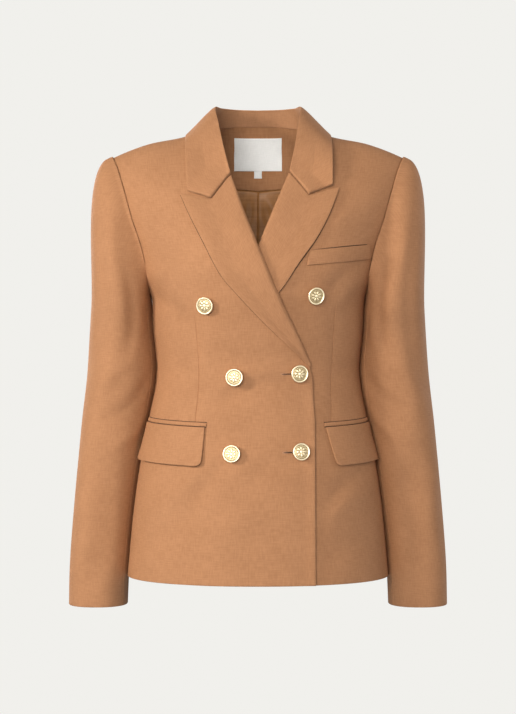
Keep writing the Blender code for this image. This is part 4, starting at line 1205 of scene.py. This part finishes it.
inside = np.abs(stations) <= 5.001
crest = fall[0, inside] - normals[0, inside] * SHELL_WALL
foot = seam[inside]
stand_shares = shares(24, 0.035, SHELL_WALL / 2)
stand = foot + (crest - foot) * stand_shares[:, None, None]
away = grid_normals(stand)
if away[8, away.shape[1] // 2, 1] < 0:
    away = -away
inner_share = (stations[inside] + 5) / 10
full = np.minimum(fullness(stand_shares, 0.035, SHELL_WALL / 2)[:, None],
                  fullness(inner_share, 0.28, SHELL_WALL / 2)[None, :])
# The stand wears the darker copy of the wool, which is painted shade.
cloth_piece("collar_stand", stand, -away, SHELL_WALL, full, CUTS["collar_stand"],
            material=STAND_SHADE_WOOL)

# %% [markdown]
# ## Pockets
#
# Each hip pocket has a flap with softly rounded corners below a narrow jetting, and the chest
# has a slanted welt. The flap hangs free at its foot, so it stands off the front there by a
# few millimetres, which is what throws the thin shadow below it.

# %% Pockets
FLAP_TOP = -0.3985
FLAP_BOTTOM = -0.4500
FLAP_SIDE_BOTTOM = -0.4450
FLAP_SIDE_RISE = 0.005
FLAP_CORNER = 0.0075
FLAP_SPRING = 0.0030
JETTING_HEIGHT = 0.0052
JETTING_GROOVE = 0.0010      # the painted shade line above the flap, and the one above the jetting
FLAP_CLEAR = 0.0014
JETTING_WALL = 0.0022
JETTING_LIP = 0.0016
JETTING_CLEAR = -0.0004      # the jetting is sewn a little into the front
JETTING_PAST_FLAP = 0.01     # how far round the body it runs on past the flap, in radians
FLAP_SIDE_TURN = math.radians(80)
FLAP_FRONT_X = {"right": (0.0690, 0.0735), "left": (0.0895, 0.1025)}
WELT_CORNERS = ((0.0670, -0.1650), (0.1480, -0.1540), (0.1505, -0.1730), (0.0640, -0.1850))


def rounded_corners(across, down, width, length, radius, corners):
    """Draw a rectangle's corners in to arcs; corners are (side, end) pairs of 0 and 1."""
    for side, end in corners:
        from_side = np.abs(across - side) * width
        from_end = np.abs(down - end) * length
        p, q = 1 - np.clip(from_side / radius, 0, 1), 1 - np.clip(from_end / radius, 0, 1)
        near = (from_side < radius) & (from_end < radius)
        p_in, q_in = p * np.sqrt(1 - q**2 / 2), q * np.sqrt(1 - p**2 / 2)
        across = np.where(near, side + (1 - 2 * side) * (1 - p_in) * radius / width, across)
        down = np.where(near, end + (1 - 2 * end) * (1 - q_in) * radius / length, down)
    return across, down


def strip_piece(name, own_side, corners, size, wall, lip, cut, rounding=0.0, spring=0.0, radius=0.0012,
                clear=LAYER_GAP):
    """A four-cornered piece on a front: corners run top front, top side, low side, low front."""
    width, length = size
    across, down = np.meshgrid(shares(max(8, int(width / 0.0016)), width, lip),
                               shares(max(6, int(length / 0.0016)), length, lip))
    full = np.minimum(fullness(across, width, lip), fullness(down, length, lip))
    low_corners = ((0, 1), (1, 1)) if rounding else ()
    across, down = rounded_corners(across, down, width, length, max(rounding, radius), low_corners)
    across, down = across[..., None], down[..., None]
    top_front, top_side, low_side, low_front = (np.array(corner, float) for corner in corners)
    grid = ((top_front * (1 - across) + top_side * across) * (1 - down)
            + (low_front * (1 - across) + low_side * across) * down)
    angle, height = grid[..., 0], grid[..., 1]
    x = own_side * x_of(angle, height)
    lift = side_lift(x, height, own_side) + clear + wall + spring * down[..., 0] ** 2
    points = body_point(x, height, -1, lift)
    return cloth_piece(name, points, body_normal(x, height, -1 + 0 * x), wall, full, cut)


def girth(x, height):
    """The turn round the body, from the centre front, of a point at x."""
    return float(angle_of(np.array(x), np.array(height)))


for side_name, own_side in (("right", -1), ("left", 1)):
    top_x, bottom_x = FLAP_FRONT_X[side_name]
    front_top = (girth(top_x, FLAP_TOP), FLAP_TOP)
    side_top = (FLAP_SIDE_TURN, FLAP_TOP + FLAP_SIDE_RISE)
    side_low = (FLAP_SIDE_TURN + 0.02, FLAP_SIDE_BOTTOM)
    front_low = (girth(bottom_x, FLAP_BOTTOM), FLAP_BOTTOM)
    strip_piece(f"flap_{side_name}", own_side, (front_top, side_top, side_low, front_low), (0.11, 0.051),
                SHELL_WALL, PRESSED_EDGE, CUTS[f"flap_{side_name}"],
                rounding=FLAP_CORNER, spring=FLAP_SPRING, clear=FLAP_CLEAR)
    low, high = JETTING_GROOVE, JETTING_GROOVE + JETTING_HEIGHT
    front_turn = front_top[0] - JETTING_PAST_FLAP
    corners = ((front_turn, FLAP_TOP + high), (side_top[0], side_top[1] + high),
               (side_top[0], side_top[1] + low), (front_turn, FLAP_TOP + low))
    strip_piece(f"jetting_{side_name}", own_side, corners, (0.115, JETTING_HEIGHT),
                JETTING_WALL, JETTING_LIP, CUTS[f"jetting_{side_name}"], clear=JETTING_CLEAR)
strip_piece("breast_welt", 1, [(girth(x, height), height) for x, height in WELT_CORNERS], (0.085, 0.0195),
            SHELL_WALL, PRESSED_EDGE, CUTS["welt"], spring=-0.0006, clear=LAYER_GAP + 0.0008)

# %% The pocket mouths
# Painted shade: thin dark strips fill the welt's mouth, each hip pocket's mouth and the seam above each
# jetting.
MOUTH_HEIGHT = 0.0007
mouth_line = np.linspace(0.03, 0.97, 60)
mouth_low = straight(WELT_CORNERS[0], WELT_CORNERS[1], mouth_line)
mouth_high = mouth_low + np.stack((0 * mouth_line, MOUTH_HEIGHT * np.sin(mouth_line * math.pi) ** 0.3), -1)
dark_strip("breast_pocket_mouth_shade", mouth_low - (0, 0.0004), mouth_high, 1, 0.0007)
for side_name, own_side in (("right", -1), ("left", 1)):
    line = np.linspace(0.0, 1.0, 60)
    front_turn = girth(FLAP_FRONT_X[side_name][0], FLAP_TOP) - JETTING_PAST_FLAP
    turn = front_turn + (FLAP_SIDE_TURN - front_turn) * line
    base = FLAP_TOP + FLAP_SIDE_RISE * line
    for label, rise in (("mouth", -0.0002), ("seam", JETTING_GROOVE + JETTING_HEIGHT - 0.0003)):
        low, high = (
            np.stack((own_side * x_of(turn, base + lifted), base + lifted), -1)
            for lifted in (rise, rise + JETTING_GROOVE + 0.0002)
        )
        dark_strip(f"hip_pocket_shade_{label}_{side_name}", low, high, own_side, 0.0006)

# %% [markdown]
# ## Inside the back
#
# Through the neck the back facing shows, in the shell's cloth, with the satin lining below it. The
# lining has a pleat down its centre, for room across the shoulders, so its left half folds over
# the right. The label is a blank white weave, sewn on with small stitches, over a size tab.

# %% Lining and label
FACING_DEPTH = table("x height", (0.000, -0.0655), (0.045, -0.0615), (0.090, -0.0540), (0.130, -0.0440))
FACING_HALF_WIDTH = 0.115
LABEL_SIZE = (0.070, 0.045)
LABEL_TOP = 0.008
LABEL_WALL = 0.0008
LABEL_LIP = 0.0005
LINING_SIDE = 0.975          # the lining ends a little short of the side seam
TAB_SIZE = (0.0115, 0.011)
INSIDE_LIFT = -(SHELL_WALL + LINING_GAP)
PLEAT_DEPTH = 0.0030
PLEAT_WIDTH = 0.010
PLEAT_GROOVE = 0.0045
LINING_FOLDS = (
    (0.012, -0.075, 0.030, -0.150, 0.006, -0.0022),
    (0.030, -0.078, 0.052, -0.140, 0.007, 0.0018),
    (-0.012, -0.080, -0.030, -0.130, 0.006, 0.0020),
    (-0.030, -0.072, -0.050, -0.150, 0.007, -0.0020),
    (0.004, -0.100, 0.010, -0.260, 0.005, -0.0018),
    (-0.060, -0.300, -0.040, -0.560, 0.012, -0.0025),
    (0.060, -0.280, 0.045, -0.560, 0.012, -0.0025),
)

facing_across = shares(110, 0.23, LINING_WALL / 2)
facing_down = shares(40, 0.09, LINING_WALL / 2)
x = (facing_across * 2 - 1)[None, :] * FACING_HALF_WIDTH + 0 * facing_down[:, None]
low = read(FACING_DEPTH, "x", "height", np.abs(x))
neck_line = np.interp(np.abs(x), NECKLINE["x"][:4], NECKLINE["height"][:4])
high = np.where(np.abs(x) < NECKLINE["x"][3], neck_line, shoulder_height(x)) - 0.0003
height = low + (high - low) * np.sin(facing_down * math.pi / 2)[:, None]
full = np.minimum(fullness(facing_across, 0.23, LINING_WALL / 2)[None, :],
                  fullness(facing_down, 0.09, LINING_WALL / 2)[:, None])
cloth_piece("back_neck_facing", body_point(x, height, 1, INSIDE_LIFT), body_normal(x, height, 1 + 0 * x),
            LINING_WALL, full, CUTS["facing"],
            coordinates=panel_coordinates(x, height, -1))

lining_levels = np.concatenate((np.linspace(0.06, 2, 110), np.linspace(2, 2.7, 40)[1:]))
facing_low = float(read(FACING_DEPTH, "x", "height", np.zeros(1))[0]) - SEAM_LINE
edge_z = np.interp(lining_levels, (0, 1, 2, 2.7), (HEM_HEIGHT, WAIST_HEIGHT, -0.205, facing_low))
side_x, side_z = side_points(lining_levels, "back_x")
for side_name, own_side in (("right", -1), ("left", 1)):
    across = shares(64, 0.16, LINING_WALL)
    across = np.unique(np.concatenate((across, np.linspace(0, 0.12, 16))))
    centre, side = (np.zeros_like(edge_z), edge_z), (side_x * LINING_SIDE, side_z)
    x, height = half_grid(centre, side, lining_levels, across[None, :])
    limit = read(FACING_DEPTH, "x", "height", np.abs(x)) - SEAM_LINE
    near_top = ramp(2.0, 2.7, lining_levels)[:, None]
    height = np.minimum(np.where(height > limit, limit, height) * near_top + height * (1 - near_top), limit)
    x = x * own_side
    pleat = PLEAT_DEPTH * np.exp(-(np.abs(x) / PLEAT_WIDTH) ** 2) * (1 if own_side > 0 else 0.15)
    overlap = 0.0022 * np.exp(-(np.abs(x) / 0.004) ** 2) * (1 if own_side > 0 else -1)
    groove = PLEAT_GROOVE * np.exp(-(x / 0.0016) ** 2)
    lift = INSIDE_LIFT - pleat * ramp(0, 0.012, limit - height) + fold_lift(x, height, LINING_FOLDS) + groove
    full = np.minimum(fullness(across, 0.16, LINING_WALL)[None, :],
                      fullness(lining_levels / 2.7, 0.56, LINING_WALL)[:, None])
    full[0], full[-1] = 0.0, 0.0
    points = body_point(x - overlap, height, 1, np.minimum(lift, INSIDE_LIFT + 0.0015))
    cloth_piece(f"lining_back_{side_name}", points, body_normal(x, height, 1 + 0 * x), LINING_WALL, full,
                CUTS["lining"], material=SATIN,
                coordinates=panel_coordinates(x, height, -1))

label_lift = INSIDE_LIFT - LINING_WALL - 0.0004
for name, half, top, drop, cut in (
    ("label", LABEL_SIZE[0] / 2, LABEL_TOP, LABEL_SIZE[1], CUTS["label"]),
    ("size_tab", TAB_SIZE[0] / 2, LABEL_TOP - LABEL_SIZE[1] + 0.0006, TAB_SIZE[1], CUTS["tab"]),
):
    x, height = np.meshgrid((shares(30, 2 * half, LABEL_LIP) * 2 - 1) * half,
                            top - drop * shares(22, drop, LABEL_LIP))
    full = np.minimum(fullness((x / half + 1) / 2, 2 * half, LABEL_LIP),
                      fullness((top - height) / drop, drop, LABEL_LIP))
    curl = 0.0006 * ramp(0.75, 1.0, np.abs(x) / half) * np.sin(height * 260)
    back = 0.0006 if name == "size_tab" else 0.0
    points = body_point(x, height, 1, label_lift + curl + back)
    cloth_piece(name, points, body_normal(x, height, 1 + 0 * x), LABEL_WALL, full, cut,
                material=LABEL_WEAVE,
                coordinates=np.stack((x, height), -1))

# %% [markdown]
# ## Stitches
#
# The stitches repeat, so they are made with Geometry Nodes: one small thread is put on each
# point of a run, turned along the direction stored there, and made real. The label is sewn on
# down its two short sides, and each buttonhole is bound all round with threads across its edge.

# %% Stitches
def stitch_tree():
    tree = bpy.data.node_groups.new("sewn_stitches", "GeometryNodeTree")
    sockets = tree.interface
    sockets.new_socket("Geometry", in_out="INPUT", socket_type="NodeSocketGeometry")
    sockets.new_socket("Thread Radius", in_out="INPUT", socket_type="NodeSocketFloat")
    sockets.new_socket("Stitch Length", in_out="INPUT", socket_type="NodeSocketFloat")
    sockets.new_socket("Thread", in_out="INPUT", socket_type="NodeSocketMaterial")
    sockets.new_socket("Geometry", in_out="OUTPUT", socket_type="NodeSocketGeometry")
    nodes, links = tree.nodes, tree.links
    given, made_real = nodes.new("NodeGroupInput"), nodes.new("GeometryNodeRealizeInstances")
    thread = nodes.new("GeometryNodeMeshUVSphere")
    thread.inputs["Segments"].default_value = 6
    thread.inputs["Rings"].default_value = 5
    thread.inputs["Radius"].default_value = 1.0
    size = nodes.new("ShaderNodeCombineXYZ")
    half = nodes.new("ShaderNodeMath")
    half.operation = "MULTIPLY"
    half.inputs[1].default_value = 0.5
    links.new(given.outputs["Stitch Length"], half.inputs[0])
    links.new(given.outputs["Thread Radius"], size.inputs["X"])
    links.new(given.outputs["Thread Radius"], size.inputs["Y"])
    links.new(half.outputs[0], size.inputs["Z"])
    direction = nodes.new("GeometryNodeInputNamedAttribute")
    direction.data_type = "FLOAT_VECTOR"
    direction.inputs["Name"].default_value = "direction"
    aim = nodes.new("FunctionNodeAlignRotationToVector")
    aim.axis = "Z"
    links.new(direction.outputs["Attribute"], aim.inputs["Vector"])
    points = nodes.new("GeometryNodeMeshToPoints")
    links.new(given.outputs["Geometry"], points.inputs["Mesh"])
    place = nodes.new("GeometryNodeInstanceOnPoints")
    links.new(points.outputs["Points"], place.inputs["Points"])
    links.new(thread.outputs["Mesh"], place.inputs["Instance"])
    links.new(aim.outputs["Rotation"], place.inputs["Rotation"])
    links.new(size.outputs["Vector"], place.inputs["Scale"])
    links.new(place.outputs["Instances"], made_real.inputs["Geometry"])
    finish = nodes.new("GeometryNodeSetMaterial")
    links.new(made_real.outputs["Geometry"], finish.inputs["Geometry"])
    links.new(given.outputs["Thread"], finish.inputs["Material"])
    result = nodes.new("NodeGroupOutput")
    links.new(finish.outputs["Geometry"], result.inputs["Geometry"])
    return tree


STITCHES = stitch_tree()


def sewn(name, places, directions, radius, length, thread, slot):
    """A run of stitches at places, each along its direction, as one plain mesh."""
    run = bpy.data.meshes.new(name)
    run.from_pydata([tuple(place) for place in places], [], [])
    way = run.attributes.new("direction", "FLOAT_VECTOR", "POINT")
    way.data.foreach_set("vector", np.asarray(directions, np.float32).ravel())
    carrier = bpy.data.objects.new(name + "_run", run)
    bpy.context.scene.collection.objects.link(carrier)
    modifier = carrier.modifiers.new("Stitches", "NODES")
    modifier.node_group = STITCHES
    for item in STITCHES.interface.items_tree:
        value = {"Thread Radius": radius, "Stitch Length": length, "Thread": thread}.get(item.name)
        if value is not None:
            modifier[item.identifier] = value
    evaluated = carrier.evaluated_get(bpy.context.evaluated_depsgraph_get())
    mesh = bpy.data.meshes.new_from_object(evaluated)
    bpy.data.objects.remove(carrier)
    mesh.name = name
    if thread.name not in [slot_material.name for slot_material in mesh.materials if slot_material]:
        mesh.materials.append(thread)
    mesh.shade_smooth()
    piece = bpy.data.objects.new(name, mesh)
    bpy.context.scene.collection.objects.link(piece)
    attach(piece, "root")
    print(f"{name}: {len(places)} stitches, {len(mesh.polygons)} faces")
    return piece


half, drop = LABEL_SIZE[0] / 2 - 0.0012, LABEL_SIZE[1]
down = np.linspace(-0.0016, -drop + 0.0016, 18)
x = np.concatenate((np.full_like(down, -half), np.full_like(down, half)))
height = LABEL_TOP + np.concatenate((down, down))
places = body_point(x, height, 1, label_lift - LABEL_WALL)
upwards = np.tile((0.0, 0.0, 1.0), (len(places), 1))
sewn("label_stitches", places, upwards, 0.00016, 0.0017, LABEL_THREAD, "woven_label")

# %% [markdown]
# ## Buttonholes and buttons
#
# Two of the six buttons fasten, through bound buttonholes in the top front. The buttons are
# cast: a domed face inside a raised rim, on a short shank. Their relief is a plain rosette, and
# its hollows are darkened with painted shade, which is what makes a gilt button read as one.

# %% Buttonholes
BUTTONS = table(
    "x       height  side",
    (-0.0670, -0.236, -1),
    (0.0746, -0.224, 1),
    (-0.0300, -0.332, -1),
    (0.0526, -0.327, -1),
    (-0.0340, -0.433, -1),
    (0.0555, -0.4305, -1),
)
FASTENED = (3, 5)
SLIT_LENGTH = 0.024
SLIT_HALF = 0.0011
BUTTONHOLE_THREAD = 0.00028
BUTTONHOLE_STITCH = 0.0015

for count, number in enumerate(FASTENED, 1):
    eye = BUTTONS["x"][number] + 0.001
    level = BUTTONS["height"][number] - 0.0005
    turns = np.linspace(0, 2 * math.pi, 97)[:-1]
    half = SLIT_LENGTH / 2
    x = eye - half + half * np.sign(np.cos(turns)) * np.abs(np.cos(turns)) ** 0.35
    height = level + SLIT_HALF * np.sign(np.sin(turns)) * np.abs(np.sin(turns)) ** 0.7
    lift = side_lift(x, height, -1)
    places = body_point(x, height, -1, lift + 0.00015)
    middle_x = np.clip(x, eye - 2 * half + SLIT_HALF, eye - SLIT_HALF)
    centre = body_point(middle_x, level + 0 * x, -1, lift + 0.00015)
    sewn(f"buttonhole_{count}_stitches", places, unit(places - centre), BUTTONHOLE_THREAD, BUTTONHOLE_STITCH,
         THREAD, "shell_cloth")
    # Painted shade: a dark strip fills each buttonhole's slit.
    line = np.linspace(-1.0, 1.0, 49)
    slit_half = 0.75 * SLIT_HALF * (1 - line**6) ** 0.7
    slit_shade = np.stack((eye - half + 0.97 * half * line, level + 0 * line), -1)
    opened = np.stack((0 * line, slit_half + 0.00002), -1)
    dark_strip(f"buttonhole_{count}_slit", slit_shade - opened, slit_shade + opened, -1, 0.00022)

# %% Buttons
BUTTON_RADIUS = 0.0115
BUTTON_HEIGHT = 0.0066
BUTTON_SIDES = 72
# radius and height of the button's half section, as shares, from its rim to its shank
BUTTON_RIM = (
    (0.80, 0.800), (0.84, 0.860), (0.88, 0.915), (0.92, 0.930), (0.96, 0.900), (0.99, 0.820), (1.00, 0.740),
    (0.995, 0.640), (0.97, 0.540), (0.90, 0.480), (0.70, 0.440), (0.32, 0.420), (0.28, 0.360), (0.26, 0.000),
)
RELIEF_HEIGHT = 0.00065


def rosette(share, turn):
    """The relief of the face, from 0 in its hollows to 1: a boss, eight petals and a ring of beads."""
    boss = np.sqrt(np.clip(1 - (share / 0.17) ** 2, 0, 1))
    reach = np.clip((share - 0.18) / 0.40, 0, 1)
    petal = np.sin(reach * math.pi) ** 0.7 * np.clip(np.cos(turn * 4) ** 2 * 1.5 - 0.35, 0, 1) ** 0.6
    vein = 1 - 0.45 * np.exp(-(np.sin(turn * 4) / 0.10) ** 2)
    bead = np.clip(1 - ((share - 0.685) / 0.055) ** 2, 0, 1) * np.clip(np.cos(turn * 24) + 0.35, 0, 1)
    return np.maximum(np.maximum(boss, petal * vein * 0.9), bead * 0.8)


def button_mesh(name, turn_offset):
    turns = np.linspace(0, 2 * math.pi, BUTTON_SIDES + 1)[:-1]
    face_shares = np.linspace(0.04, 0.78, 26)
    share, turn = np.meshgrid(face_shares, turns, indexing="ij")
    relief = rosette(share, turn + turn_offset)
    dome = 0.86 - 0.10 * (share / 0.78) ** 2
    heights = BUTTON_HEIGHT * dome + RELIEF_HEIGHT * relief
    rim = np.array(BUTTON_RIM)
    share = np.concatenate((share, rim[:, :1] + 0 * turns[None, :]))
    heights = np.concatenate((heights, BUTTON_HEIGHT * rim[:, 1:] + 0 * turns[None, :]))
    turn = np.concatenate((turn, 0 * rim[:, :1] + turns[None, :]))
    # Painted shade in the hollows of the rosette and in the groove inside the rim.
    rim_hollow = np.where(rim[:, :1] < 0.83, 0.9, 0.0) + 0 * turns[None, :]
    hollow = np.concatenate((0.9 * (1 - relief) ** 1.3, rim_hollow))
    radius = BUTTON_RADIUS * share
    points = np.stack((radius * np.cos(turn), radius * np.sin(turn), heights), -1)
    rows, columns = points.shape[:2]
    index = np.arange(rows * columns).reshape(rows, columns)
    after = np.roll(index, -1, axis=1)
    quads = np.stack((index[:-1], index[1:], after[1:], after[:-1]), -1).reshape(-1, 4)
    crown = rows * columns
    caps = [(crown, int(index[0, k]), int(after[0, k])) for k in range(columns)]
    caps.append(tuple(int(i) for i in index[-1][::-1]))
    mesh = bpy.data.meshes.new(name)
    top = BUTTON_HEIGHT * 0.86 + RELIEF_HEIGHT
    mesh.from_pydata(points.reshape(-1, 3).tolist() + [(0.0, 0.0, top)], [], quads.tolist() + caps)
    layer = mesh.attributes.new("hollow", "FLOAT", "POINT")
    layer.data.foreach_set("value", np.concatenate((hollow.ravel(), (0.0,))).astype(np.float32))
    mesh.shade_smooth()
    return mesh


for number, (x, height, side) in enumerate(zip(BUTTONS["x"], BUTTONS["height"], BUTTONS["side"]), 1):
    place = body_point(x, height, -1, side_lift(x, height, side) + 2 * LAYER_GAP)
    normal = body_normal(np.array(x), np.array(height), np.array(-1))
    turn = Vector((0, 0, 1)).rotation_difference(Vector(normal))
    mesh = button_mesh(f"button_{number}", 0.35 * number)
    mesh.transform(turn.to_matrix().to_4x4())
    mesh.transform(Matrix.Translation(Vector(place)))
    add_piece(f"button_{number}", mesh, GILT)
print(f"{len(made)} pieces stand for CAD nodes")

# %% [markdown]
# ## Studio
#
# The jacket hangs free in a pale studio, with nothing below it but a pale floor well out of its
# way. A large soft light stands in front, and a smaller one high on the left of the view makes
# the folds and laps shade towards the right. Weak lights on the right and behind fill the shade,
# and a narrow one looks in at the neck, where the label would be dark without it.

# %% Floor, light and camera
FLOOR_HEIGHT = -1.15
STUDIO_REACH = 9.0
PALE = (0.879, 0.871, 0.838, 1.0)
AMBIENT = 0.15


def studio_surface(name, mesh):
    """A pale surface that shows behind the jacket but throws no light of its own on it."""
    surface = bpy.data.objects.new(name, mesh)
    bpy.context.scene.collection.objects.link(surface)
    finish, _, _, shader = blank_material(name)
    shader.inputs["Base Color"].default_value = (0.0, 0.0, 0.0, 1.0)
    shader.inputs["Roughness"].default_value = 1.0
    shader.inputs["Specular IOR Level"].default_value = 0.0
    shader.inputs["Emission Color"].default_value = PALE
    shader.inputs["Emission Strength"].default_value = 1.0
    mesh.materials.append(finish)
    surface.visible_diffuse = False
    surface.visible_shadow = False
    return surface


floor_mesh = bpy.data.meshes.new("pale_floor")
floor_corners = ((-1, -1), (1, -1), (1, 1), (-1, 1))
floor_points = [(x * STUDIO_REACH, y * STUDIO_REACH, FLOOR_HEIGHT) for x, y in floor_corners]
floor_mesh.from_pydata(floor_points, [], [(0, 1, 2, 3)])
studio_surface("pale_floor", floor_mesh)
dome_shape = bmesh.new()
bmesh.ops.create_uvsphere(dome_shape, u_segments=48, v_segments=24, radius=STUDIO_REACH)
bmesh.ops.reverse_faces(dome_shape, faces=dome_shape.faces)
dome_mesh = bpy.data.meshes.new("pale_backdrop")
dome_shape.to_mesh(dome_mesh)
dome_shape.free()
studio_surface("pale_backdrop", dome_mesh)

world = bpy.data.worlds.new("pale_studio")
world.use_nodes = True
world.node_tree.nodes["Background"].inputs["Color"].default_value = PALE
world.node_tree.nodes["Background"].inputs["Strength"].default_value = AMBIENT
bpy.context.scene.world = world
bpy.context.scene.view_settings.view_transform = "Standard"


def area_light(name, place, aim, size, power, colour):
    lamp = bpy.data.lights.new(name, "AREA")
    lamp.size = size
    lamp.energy = power
    lamp.color = colour
    lamp_object = bpy.data.objects.new(name, lamp)
    bpy.context.scene.collection.objects.link(lamp_object)
    lamp_object.location = place
    lamp_object.rotation_euler = (Vector(aim) - Vector(place)).to_track_quat("-Z", "Y").to_euler()
    return lamp_object


CENTRE = (0.0, 0.0, -0.30)
area_light("key_light", (-2.4, -1.45, 0.5), CENTRE, 0.5, 64.0, (1.0, 0.98, 0.95))
area_light("front_light", (-0.55, -2.95, 0.15), CENTRE, 1.8, 97.0, (1.0, 0.98, 0.96))
area_light("side_light", (2.4, -0.6, 0.3), CENTRE, 1.2, 11.0, (1.0, 0.96, 0.93))
area_light("back_light_left", (-1.6, 2.4, 0.7), CENTRE, 1.0, 60.0, (1.0, 0.98, 0.96))
area_light("back_light_right", (2.0, 2.0, 0.4), CENTRE, 1.0, 30.0, (1.0, 0.98, 0.96))

neck_lamp = bpy.data.lights.new("neck_light", "SPOT")
neck_lamp.energy = 34.0
neck_lamp.spot_size = math.radians(3.7)
neck_lamp.spot_blend = 1.0
neck_lamp.shadow_soft_size = 0.02
neck_light = bpy.data.objects.new("neck_light", neck_lamp)
bpy.context.scene.collection.objects.link(neck_light)
neck_light.location = (0.0, -2.1, 0.05)
neck_middle = Vector((0.0, 0.09, -0.035))
neck_light.rotation_euler = (neck_middle - neck_light.location).to_track_quat("-Z", "Y").to_euler()

camera_data = bpy.data.cameras.new("camera")
camera_data.sensor_fit = "VERTICAL"
camera_data.sensor_height = 36.0
camera_data.lens = 84.0
camera = bpy.data.objects.new("camera", camera_data)
bpy.context.scene.collection.objects.link(camera)
camera.location = (0.0, -2.3, -0.305)
camera.rotation_euler = (math.pi / 2, 0.0, 0.0)
bpy.context.scene.camera = camera
print("camera level with the waist, 2.3 m away")
